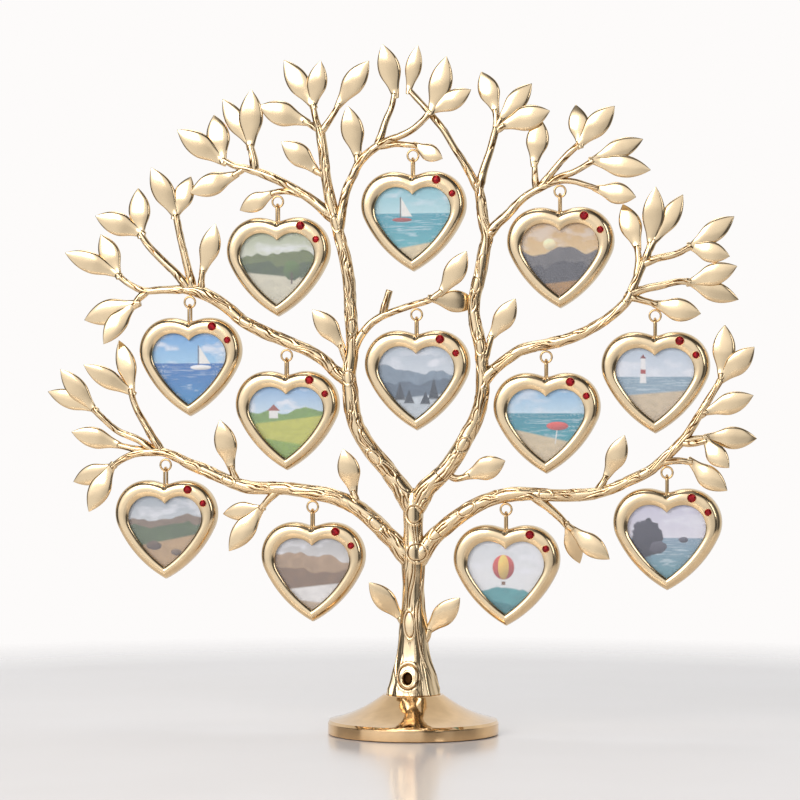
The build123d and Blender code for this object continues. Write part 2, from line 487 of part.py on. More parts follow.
def leaf(foot_x, foot_z, tip_x, tip_z, width, tip_depth, bow, foot_depth):
    """A plump pointed leaf with a keel front and back, from its foot to its tip."""
    foot = tree_point(foot_x, foot_z, foot_depth)
    tip = tree_point(tip_x, tip_z, tip_depth * TREE_HEIGHT)
    length = tip - foot
    direction = length.normalized()
    front = (Vector(0, 1, 0) - direction * direction.Y).normalized()
    side = front.cross(direction)
    half_width = width * TREE_HEIGHT / 2
    half_thickness = half_width * LEAF_THICKNESS_SHARE
    foot = foot - direction * (half_width * leaf_width_shares[0])
    length = tip - foot
    plane_sections = []
    for along, wide in zip(leaf_station_shares, leaf_width_shares):
        middle = foot + length * along + side * (bow * TREE_HEIGHT * 4 * along * (1 - along))
        reach = max(half_width * wide, LEAF_TIP_RADIUS)
        rise = max(half_thickness * wide, half_width * leaf_width_shares[0] * (1 - along))
        corners = (middle + front * rise, middle + side * reach,
                   middle - front * rise, middle - side * reach)
        plane_sections.append(Face(Wire.make_polygon(corners, close=True)))
    return loft(plane_sections, ruled=True)


def leaf_foot_depth(casting, foot_x, foot_z):
    """How far forward or back the twig that carries the leaf ends."""
    foot = tree_point(foot_x, foot_z)
    ends = [route_points(casting, route)[-1] for route in route_shares[casting]]
    return min(ends, key=lambda end: hypot(end.X - foot.X, end.Z - foot.Z)).Y


def tenon(seam, clearance):
    """The round tenon behind a casting's first face, or with a clearance the socket for it."""
    child, child_route, parent, stub = seam
    direction = seam_direction(seam)
    point = route_points(child, child_route)[0]
    radius = route_shares[child][child_route][0][2] * TREE_HEIGHT / 2 * TENON_SHARE
    plane = Plane(origin=point, z_dir=direction * -1)
    bar = Cylinder(radius + clearance, TENON_LENGTH + clearance,
                   align=(Align.CENTER, Align.CENTER, Align.MIN))
    return plane * bar


def trunk_body():
    """The trunk between the foot and the fork, with a hollow knot low in front."""
    sections = [Pos(tree_point(0, z)) * RegularPolygon(girth * TREE_HEIGHT, TRUNK_SIDES)
                for z, girth in trunk_girth_shares]
    return loft(sections, ruled=True)


def casting_body(casting):
    """One casting: its twigs and leaves as one solid, with tenon and sockets."""
    pieces = [rod(casting, route) for route in route_shares[casting]]
    pieces += [leaf(*shares, leaf_foot_depth(casting, *shares[:2])) for shares in leaf_shares[casting]]
    if casting == "trunk":
        pieces.append(trunk_body())
    pieces += [tenon(seam, 0) for seam in seams if seam[0] == casting]
    body = pieces[0] + pieces[1:]
    for seam in seams:
        if seam[2] == casting:
            body -= tenon(seam, TENON_CLEARANCE)
    return body


def trunk():
    """The trunk casting, with its knot and the hole for the foot screw."""
    body = casting_body("trunk")
    knot_girth = next(girth for z, girth in trunk_girth_shares if z >= KNOT_HEIGHT_SHARE)
    front = tree_point(0, KNOT_HEIGHT_SHARE, -knot_girth * TREE_HEIGHT)
    rim = Pos(front) * Rot(90, 0, 0) * Cylinder(KNOT_RADIUS + KNOT_RIM, KNOT_DEPTH)
    hollow = Pos(front) * Rot(90, 0, 0) * Cylinder(KNOT_RADIUS, KNOT_DEPTH + KNOT_DEPTH)
    body = body + rim - hollow
    hole = Cylinder(SCREW_RADIUS + SCREW_CLEARANCE, SCREW_BITE + SCREW_CLEARANCE,
                    align=(Align.CENTER, Align.CENTER, Align.MIN))
    return body - Pos(0, 0, BASE_TOP_HEIGHT) * hole


def base_plate():
    """The round foot: a rim, a hollow-curved top, a seat for the felt and one for the screw head."""
    rim = (BASE_RADIUS, BASE_RIM_HEIGHT)
    shoulder = (BASE_RADIUS - BASE_LIP, BASE_RIM_HEIGHT + BASE_LIP)
    waist = (BASE_WAIST_RADIUS, BASE_WAIST_HEIGHT)
    neck = (BASE_NECK_RADIUS, BASE_TOP_HEIGHT)
    outline = [
        Line((0, FELT_PROUD), (BASE_RADIUS, FELT_PROUD)),
        Line((BASE_RADIUS, FELT_PROUD), rim),
        Line(rim, shoulder),
        ThreePointArc(shoulder, waist, neck),
        Line(neck, (0, BASE_TOP_HEIGHT)),
        Line((0, BASE_TOP_HEIGHT), (0, FELT_PROUD)),
    ]
    plate = revolve(Plane.XZ * make_face(outline), axis=Axis.Z)
    felt_seat = Cylinder(FELT_RADIUS + FELT_CLEARANCE, FELT_THICKNESS,
                         align=(Align.CENTER, Align.CENTER, Align.MIN))
    head_seat = Cylinder(SCREW_HEAD_RADIUS + SCREW_CLEARANCE, SCREW_HEAD_SEAT,
                         align=(Align.CENTER, Align.CENTER, Align.MIN))
    shank_hole = Cylinder(SCREW_RADIUS + SCREW_CLEARANCE, BASE_TOP_HEIGHT,
                          align=(Align.CENTER, Align.CENTER, Align.MIN))
    return plate - felt_seat - head_seat - shank_hole


def base_felt():
    """The felt disc in the foot's underside, which stands a little proud of it."""
    return Cylinder(FELT_RADIUS, FELT_THICKNESS, align=(Align.CENTER, Align.CENTER, Align.MIN))


def base_screw():
    """The slotted screw that pulls the trunk down on the foot."""
    head = Cylinder(SCREW_HEAD_RADIUS, SCREW_HEAD_HEIGHT, align=(Align.CENTER, Align.CENTER, Align.MAX))
    shank = Cylinder(SCREW_RADIUS, BASE_TOP_HEIGHT - SCREW_HEAD_SEAT + SCREW_BITE,
                     align=(Align.CENTER, Align.CENTER, Align.MIN))
    slot = Pos(0, 0, -SCREW_HEAD_HEIGHT) * Box(2 * SCREW_HEAD_RADIUS, SCREW_SLOT_WIDTH,
                                              2 * SCREW_SLOT_DEPTH)
    return Pos(0, 0, SCREW_HEAD_SEAT) * (head + shank - slot)


def ring_centre(casting, route, x_share, push_share):
    """The middle of a ring that touches the underside of its twig at x, or what pushes it lower."""
    shares = sorted(route_shares[casting][route])
    before, after = next((a, b) for a, b in zip(shares, shares[1:]) if a[0] <= x_share <= b[0])
    part = (x_share - before[0]) / (after[0] - before[0])
    z_share = before[1] + (after[1] - before[1]) * part
    thickness = (before[2] + (after[2] - before[2]) * part) * TREE_HEIGHT
    run = hypot(after[0] - before[0], after[1] - before[1])
    level = (after[0] - before[0]) / run
    drop = (thickness / 2 + RING_RADIUS + RING_WIRE_RADIUS + RING_SEAT_GAP) / level
    return tree_point(x_share, z_share - push_share) - Vector(0, 0, drop)


def closed_wire(corners, axis, wire_radius):
    """A closed wire with a corner at each point, around an axis. Its bars meet in mitres."""
    sections = []
    for before, corner, after in zip(corners[-1:] + corners, corners, corners[1:] + corners[:1]):
        plane = Plane(origin=corner, x_dir=axis, z_dir=(after - before).normalized())
        wire = RegularPolygon(wire_radius / cos(pi / WIRE_SIDES), WIRE_SIDES)
        sections.append(plane * wire)
    half = len(sections) // 2
    first_half = loft(sections[:half + 1], ruled=True)
    return first_half + loft(sections[half:] + sections[:1], ruled=True)


def wire_ring(radius, wire_radius):
    """A closed ring of wire that faces the front, with a corner at its top and its bottom."""
    turns = [2 * pi * i / RING_CORNERS for i in range(RING_CORNERS)]
    corners = [Vector(radius * cos(turn), 0, radius * sin(turn)) for turn in turns]
    return closed_wire(corners, (0, 1, 0), wire_radius)


def hanger_link():
    """A closed oblong link that hangs across a ring's lowest wire, which is at the origin."""
    turns = [2 * pi * i / RING_CORNERS for i in range(RING_CORNERS // 2 + 1)]
    upper_middle = Vector(0, 0, LINK_TOP - LINK_HALF_WIDTH)
    lower_middle = Vector(0, 0, LINK_TOP - LINK_REACH + LINK_HALF_WIDTH)
    bow = [Vector(0, cos(turn), sin(turn)) * LINK_HALF_WIDTH for turn in turns]
    corners = [upper_middle + point for point in bow] + [lower_middle - point for point in bow]
    return closed_wire(corners, (1, 0, 0), LINK_WIRE_RADIUS)


def heart_outline(share):
    """A heart between the outer edge (0) and the window's edge (1), as a face with short straight
    edges along the arcs of its lobes and sides."""
    lobe_x = HEART_LOBE_X + (WINDOW_LOBE_X - HEART_LOBE_X) * share
    lobe_radius = HEART_LOBE_RADIUS + (WINDOW_LOBE_RADIUS - HEART_LOBE_RADIUS) * share
    middle = Vector(lobe_x, -WINDOW_TOP_DROP * share - lobe_radius)
    tip = Vector(0, -HEART_HEIGHT + (HEART_HEIGHT - WINDOW_TOP_DROP - WINDOW_HEIGHT) * share)
    angle = radians(HEART_SHOULDER_ANGLE + (WINDOW_SHOULDER_ANGLE - HEART_SHOULDER_ANGLE) * share)
    notch = middle + Vector(-lobe_x, (lobe_radius ** 2 - lobe_x ** 2) ** 0.5)
    crown = middle + Vector(cos(pi / 4), sin(pi / 4)) * lobe_radius
    shoulder = middle + Vector(cos(angle), -sin(angle)) * lobe_radius
    lobe = ThreePointArc(notch, crown, shoulder)
    side = TangentArc(shoulder, tip, tangent=(-sin(angle), -cos(angle)))
    corners = [lobe @ (i / LOBE_FACETS) for i in range(LOBE_FACETS)]
    corners += [side @ (i / HEART_SIDE_FACETS) for i in range(HEART_SIDE_FACETS)]
    mirrored = [Vector(-corner.X, corner.Y) for corner in reversed(corners[1:])]
    return make_face(Polyline(*corners, tip, *mirrored, close=True))


def heart_slice(share, height):
    """A heart outline laid across the frame at a height in front of its flat back."""
    plane = Plane(origin=(0, EYE_DEPTH - height, 0), x_dir=(1, 0, 0), z_dir=(0, -1, 0))
    return plane * heart_outline(share)


def heart_loft(stations):
    """A heart-shaped solid through outline shares at heights in front of the flat back."""
    return loft([heart_slice(share, height) for share, height in stations], ruled=True)


def heart_block(share, low, high):
    """A straight heart-shaped block between two heights."""
    return heart_loft(((share, low), (share, high)))


def crest_height(share):
    """The bezel's height where the outline has moved inwards by a share of its width."""
    rise = sin(pi / 2 * min(share / BEZEL_CREST_SHARE, 1))
    return BEZEL_WALL_HEIGHT + (BEZEL_CREST_HEIGHT - BEZEL_WALL_HEIGHT) * rise


def stone_block(radius, low, high, table_radius):
    """An eight-sided block whose axis points to the front."""
    sections = []
    for reach, height in ((radius, low), (table_radius, high)):
        plane = Plane(origin=(0, EYE_DEPTH - height, 0), x_dir=(1, 0, 0), z_dir=(0, -1, 0))
        sections.append(plane * RegularPolygon(reach, STONE_SIDES))
    return loft(sections, ruled=True)


def stone(radius):
    """A flat-backed stone with a cut crown."""
    girdle = STONE_SEAT + STONE_GIRDLE
    body = stone_block(radius, STONE_SEAT, girdle, radius)
    return body + stone_block(radius, girdle, girdle + STONE_CROWN, radius * STONE_TABLE_SHARE)


def heart_bezel():
    """The domed frame with its window, cavity, stone seats, soldered eye and relief for the link,
    and the two stones."""
    dome = [(0, 0), (0, BEZEL_WALL_HEIGHT)]
    dome += [(share, crest_height(share)) for share in bezel_station_shares]
    frame = heart_loft(dome + [(1, BEZEL_LIP_HEIGHT)])
    frame += Pos(0, 0, -EYE_DROP) * wire_ring(EYE_RADIUS, EYE_WIRE_RADIUS)
    frame -= heart_block(1, 0, BEZEL_CREST_HEIGHT)
    frame -= heart_loft(((CAVITY_SHARE, 0), (CAVITY_SHARE, CAVITY_STEP), (POCKET_SHARE, POCKET_STEP),
                         (POCKET_SHARE, LENS_SEAT)))
    frame -= Pos(0, 0, -EYE_DROP) * Rot(90, 0, 0) * Cylinder(EYE_BORE_RADIUS, 2 * BEZEL_CREST_HEIGHT)
    relief = Cylinder(LINK_RELIEF_RADIUS, EYE_DEPTH, align=(Align.CENTER, Align.CENTER, Align.MAX))
    frame -= Pos(0, EYE_WIRE_RADIUS, -HEART_RISE) * Rot(90, 0, 0) * relief
    stones = []
    for radius, x, drop in stone_places:
        seat = stone_block(radius + STONE_CLEARANCE, STONE_SEAT - STONE_CLEARANCE,
                           BEZEL_CREST_HEIGHT + STONE_CROWN, radius + STONE_CLEARANCE)
        frame -= Pos(x, 0, -drop) * seat
        stones.append(Pos(x, 0, -drop) * stone(radius))
    return Compound([*frame.solids(), *[piece.solid() for piece in stones]])


def photo_insert():
    """The clear window and the print behind it."""
    lens_front = LENS_SEAT - INSERT_CLEARANCE
    print_front = lens_front - LENS_THICKNESS - INSERT_CLEARANCE
    lens = heart_block(LENS_SHARE, lens_front - LENS_THICKNESS, lens_front)
    sheet = heart_block(LENS_SHARE, print_front - PRINT_THICKNESS, print_front)
    return Compound([lens.solid(), sheet.solid()])


def heart_back():
    """The press-in back cover, with a dished pad that holds the print against the window."""
    pad_front = LENS_SEAT - LENS_THICKNESS - PRINT_THICKNESS - 3 * INSERT_CLEARANCE
    cover = heart_block(COVER_SHARE, 0, COVER_THICKNESS)
    cover += heart_block(PAD_SHARE, 0, pad_front)
    return cover - heart_block(DISH_SHARE, 0, pad_front - PAD_WALL)


def placed(shape, x, z):
    """A copy of the shape moved across and up in the tree's plane."""
    return Pos(x, 0, z) * shape


if __name__ == "__main__":
    os.makedirs("parts", exist_ok=True)
    export_step(base_plate(), "parts/base_plate.step")
    export_step(base_felt(), "parts/base_felt.step")
    export_step(base_screw(), "parts/base_screw.step")
    export_step(trunk(), "parts/trunk.step")
    for casting, node in casting_nodes:
        export_step(casting_body(casting), "parts/" + node + ".step")

    centres = [ring_centre(*place) for place in ring_place_shares]
    ring = wire_ring(RING_RADIUS, RING_WIRE_RADIUS)
    rings = [placed(ring, centre.X, centre.Z).solid() for centre in centres]
    export_step(Compound(rings), "parts/hanging_rings.step")

    link, bezel, insert, back = hanger_link(), heart_bezel(), photo_insert(), heart_back()
    for number, centre in enumerate(centres, 1):
        wire_z = centre.Z - RING_RADIUS
        heart_z = wire_z + LINK_TOP - LINK_REACH + HEART_RISE
        for node, shape, z in (("hanger_link", link, wire_z), ("heart_bezel", bezel, heart_z),
                               ("photo_insert", insert, heart_z), ("heart_back", back, heart_z)):
            export_step(placed(shape, centre.X, z), f"parts/{node}_{number:02d}.step")
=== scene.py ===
"""A tabletop photo tree in Blender: polished castings with carved bark, leaves and hanging hearts."""
import json
import math

import bpy
import mathutils
import numpy as np
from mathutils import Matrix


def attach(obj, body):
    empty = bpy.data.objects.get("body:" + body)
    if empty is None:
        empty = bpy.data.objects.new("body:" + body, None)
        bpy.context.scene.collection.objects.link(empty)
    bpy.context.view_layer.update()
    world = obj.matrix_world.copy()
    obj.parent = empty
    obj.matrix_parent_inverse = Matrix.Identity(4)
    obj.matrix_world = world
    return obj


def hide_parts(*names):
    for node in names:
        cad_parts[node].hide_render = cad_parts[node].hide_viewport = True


bl_info = {
    "name": "Photo Tree",
    "version": (1, 0, 0),
    "blender": (4, 5, 0),
    "location": "View3D > Sidebar > Photo Tree",
    "description": "Builds a gold-plated photo tree with heart-shaped frames on its cast model",
    "category": "Add Mesh",
}

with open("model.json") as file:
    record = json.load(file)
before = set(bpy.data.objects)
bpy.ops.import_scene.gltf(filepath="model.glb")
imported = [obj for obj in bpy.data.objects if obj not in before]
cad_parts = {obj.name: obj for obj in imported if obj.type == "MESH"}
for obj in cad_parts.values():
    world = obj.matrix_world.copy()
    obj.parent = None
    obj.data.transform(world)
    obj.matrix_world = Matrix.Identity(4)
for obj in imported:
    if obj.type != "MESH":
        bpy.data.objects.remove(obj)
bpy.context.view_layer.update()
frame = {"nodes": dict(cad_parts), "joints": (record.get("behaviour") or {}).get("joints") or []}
joint_places = {joint["name"]: np.array(joint["pos_m"]) for joint in frame["joints"]}

MM = 0.001
HEARTS = range(1, 13)

# Sizes of the tree, as in the castings
TREE_HEIGHT = 345 * MM
FOOT_SHARE = 0.0574
FOOT_TOP = 19.8 * MM

# Sizes of the foot: outer radius, height and slope of its rim, radius of its neck, and a point on its
# hollow slope. ROUNDING is the radius of its edges, and of the hearts' back edges
FOOT_RADIUS = 42.7 * MM
FOOT_RIM = 6.0 * MM
FOOT_LIP = 1.2 * MM
FOOT_NECK = 15.0 * MM
FOOT_WAIST = (26.0 * MM, 12.8 * MM)
FOOT_BEAD = 0.45 * MM
NECK_STEP = 0.3 * MM
FELT_PROUD = 0.4 * MM
ROUNDING = 0.35 * MM
# A closed end keeps a hole this wide, which its fan closes
PINHOLE = 0.02 * MM

# Sizes of the wires
RING_RADIUS = 2.78 * MM
RING_WIRE = 0.55 * MM
LINK_WIRE = 0.6 * MM
LINK_HALF_WIDTH = 2.5 * MM
LINK_TOP = 1.4 * MM
LINK_REACH = 10.2 * MM
EYE_RADIUS = 1.6 * MM
EYE_WIRE = 0.5 * MM
EYE_DROP = 4.05 * MM
# A heart's wall stays this clear of the middle of its link's lower bow
LINK_RELIEF = 1.85 * MM

# Sizes of a heart: outlines measured down from the top of the lobes, heights from the flat back. At a
# shoulder, in degrees under the lobe's middle, its arc passes into the side
HEART_RISE = 3.8 * MM
HEART_BACK = 3.7 * MM
HEART_HEIGHT = 50.1 * MM
LOBE_X = 10.2 * MM
LOBE_RADIUS = 16.6 * MM
SHOULDER = 25.0
WINDOW_HEIGHT = 36.0 * MM
WINDOW_DROP = 8.1 * MM
WINDOW_LOBE_X = 8.3 * MM
WINDOW_LOBE_RADIUS = 11.0 * MM
WINDOW_SHOULDER = 29.0
WALL_HEIGHT = 1.8 * MM
CREST_HEIGHT = 7.0 * MM
LIP_HEIGHT = 6.2 * MM
LENS_SEAT = 5.0 * MM
LENS_THICKNESS = 0.6 * MM
PRINT_THICKNESS = 0.3 * MM
INSERT_CLEARANCE = 0.05 * MM
CAVITY_STEP = 2.2 * MM
POCKET_STEP = 3.9 * MM
# Places between the heart's outer edge (0) and the window's edge (1)
CAVITY_SHARE = 0.30
POCKET_SHARE = 0.60
LENS_SHARE = 0.62
CREST_SHARE = 0.66
INNER_SHARE = 0.975
# The rounded back edge takes this share of the way to the window
EDGE_SHARE = 0.04
# The bevel of the cavity's edge, across and up
CAVITY_BEVEL = (0.02, 0.1 * MM)
# The window's rounded lip: where it starts, and how far down it is there and at the window's edge
LIP_START = 0.995
LIP_DROPS = (0.12 * MM, 0.4 * MM)
# The power of the oval that the dome follows outside its crest, and of its fall inside
DOME_POWER = 2.6
FALL_POWER = 1.6
# How far the notch between a heart's lobes is rounded at the outer edge
NOTCH_ROUND = 2.4 * MM
# The share of half a heart's points that lie on its lobe
LOBE_PART = 0.58
# Where a plate's outlines shrink to, as a share of the window's height
PLATE_MIDDLE = 0.42

# Stones: radius, across and down from the heart's middle and lobe top. Their girdles stand over their
# seats by STONE_SWELL. A stone's rings: reach, height in millimetres, and zigzag of every other corner
STONE_SEAT = 6.3 * MM
STONE_SWELL = 1.06
STONE_SIDES = 16
stone_places = ((2.0 * MM, 12.5 * MM, 4.6 * MM), (1.6 * MM, 20.5 * MM, 11.55 * MM))
stone_rings = ((1.0, 0.0, 0), (1.0, 0.75, 0), (0.84, 1.12, -0.06), (0.52, 1.45, 0.03), (0.02, 1.5, 0))
STONE_RIM_HEIGHT = 0.72 * MM
STONE_RIM_GAP = 0.12 * MM
STONE_RIM_WIRE = 0.16 * MM

# Bark: how far apart its rings are, and how many points go round a trunk, limb and twig
BARK_STEP = 0.5 * MM
TWIG_STEP = 0.8 * MM
TRUNK_AROUND = 200
LIMB_AROUND = 104
TWIG_AROUND = 40
# Two families of cords: the way they lean, their short and long waves and their fading in millimetres,
# and which of the route's phases they start from
cord_families = ((1, 13.0, 37.0, 19.0, 0), (-1, 17.0, 43.0, 27.0, 3))
LONG_SWAY = 2.1
SHORT_SWAY = 1.0
FADE_LEVEL = 0.32
FADE_SWING = 1.2
# In millimetres: a cord's half width, and the place and half width of the carved lines beside it
CORD_WIDTH = 0.42
LINE_PLACE = 0.78
LINE_WIDTH = 0.24
# How high cords and how deep lines are, as shares of the depth of the carved lines. Wood thinner than
# FULL_RADIUS is carved less deep, down to THIN_SHARE
CORD_SHARE = 0.7
LINE_SHARE = 0.8
FULL_RADIUS = 4.0 * MM
THIN_SHARE = 0.28
# A root starts narrow inside the wood that carries it, and swells where it comes out. Measured in its
# radius: how long it widens, where the collar is and how wide, then how narrow and how swollen it is
ROOT_LENGTH = 1.2
COLLAR_PLACE = 2.4
COLLAR_WIDTH = 1.3
ROOT_PINCH = 0.15
COLLAR_SWELL = 0.10
# The collar fades out over this share of the route, before its end
COLLAR_FADE = 0.6
# A limb's radius waves by this share. The length is in millimetres for each radian
WAVE_SHARE = 0.04
WAVE_LENGTH = 5.3
# The trunk's cords are wider apart, longer and shallower than the limbs'
TRUNK_SPACING = 1.3
TRUNK_STRETCH = 2.2
TRUNK_STRENGTH = 0.8
TRUNK_SEED = 7
# The roots' flutes: how many go round, their share of the depth, and where they start
flutes = ((9, 0.5, 0.7), (5, 0.3, 2.1), (14, 0.25, 1.3))
FLUTE_DEPTH = 1.5 * MM
FLUTE_REACH = 16 * MM
# The lines between the roots are carved deeper by this share
FLUTE_DEEPENING = 0.6
# The trunk's carving may push out at least this far, even where it is as wide as at its foot
PUSH_ROOM = 0.35 * MM
# Round a carved oval, in its own half sizes: where the wood turns smooth, the rim's place and width and
# the dark line's width. Then the heights of the rim and of the dome inside
OVAL_CLEAR = 1.30
OVAL_RIM = 1.17
OVAL_RIM_WIDTH = 0.12
OVAL_LINE_WIDTH = 0.065
OVAL_LINE_DEPTH = 0.9
OVAL_RIM_HEIGHT = 0.32
OVAL_DOME_HEIGHT = 0.08
# How steeply the wood turns smooth, and how steeply the carving takes hold towards the front
OVAL_STEEPNESS = 6
OVAL_FRONT = 2.5
HOLLOW_DEPTH = 2.4 * MM
HOLLOW_RIM = 1.12
HOLLOW_RIM_HEIGHT = 0.35 * MM
HOLLOW_STEEPNESS = 4
HOLLOW_FRONT = 3
# Painted shade in the hollow: how dark it is painted, in grooves
HOLLOW_PAINTED_SHADE = 2
# Over this length a limb's carving passes from the pattern of the stub it sits on to its own
SEAM_BLEND = (5 * MM, 20 * MM)

# Leaves: places along a leaf and its width there, then its thickness as a share of its width
leaf_stations = np.array((0.0, 0.22, 0.50, 0.72, 0.90, 1.0))
leaf_widths = np.array((0.27, 0.52, 1.0, 0.88, 0.42, 0.03))
LEAF_THICKNESS = 0.40
LEAF_LEAST_WIDTH = 0.02
LEAF_ROWS = 34
LEAF_AROUND = 28
# How far the leaf starts inside its twig, in half widths, and how far its middle bends back
LEAF_OVERLAP = 0.55
LEAF_CUP = 0.05
# The rings are this much closer at both ends than even steps
LEAF_CROWDING = 0.55
# The round foot passes into the flat blade over this share of the length
BLADE_START = 0.35
BLADE_FLATNESS = 0.36
BLADE_RIM = 0.10
FOOT_PLUMPNESS = 0.95
BLADE_THINNING = 0.18

# How many points go round a heart frame, and how many outlines and points a print and a pane have
HEART_AROUND = 216
PRINT_RINGS, PRINT_AROUND = 64, 220
PANE_RINGS, PANE_AROUND = 12, 160
# Points on the quarter circle of a rounded edge, on a heart's dome and its fall, and on the foot's slope
EDGE_STEPS, DOME_STEPS, FALL_STEPS, SLOPE_STEPS = 7, 22, 8, 40
# A picture is this much higher than the window, and its middle is this share of the window down
PICTURE_MARGIN = 6 * MM
PICTURE_MIDDLE = 0.45

# The tabletop ends this far from the tree
TABLE_RADIUS = 0.62

# The tree's shape, in ten-thousandths of its height: whole numbers, which UNIT divides
UNIT = 10000
# The trunk's rings: height and radius
trunk_girths = ((574, 390), (750, 335), (920, 298), (1090, 248), (1300, 215), (1590, 203), (1850, 168),
    (2150, 156), (2450, 168), (2700, 165), (2920, 142), (3200, 142), (3380, 138))
# The crotch above the trunk, where the two limbs part: height and radius
crotch_girths = ((3460, 118), (3520, 85), (3560, 30))
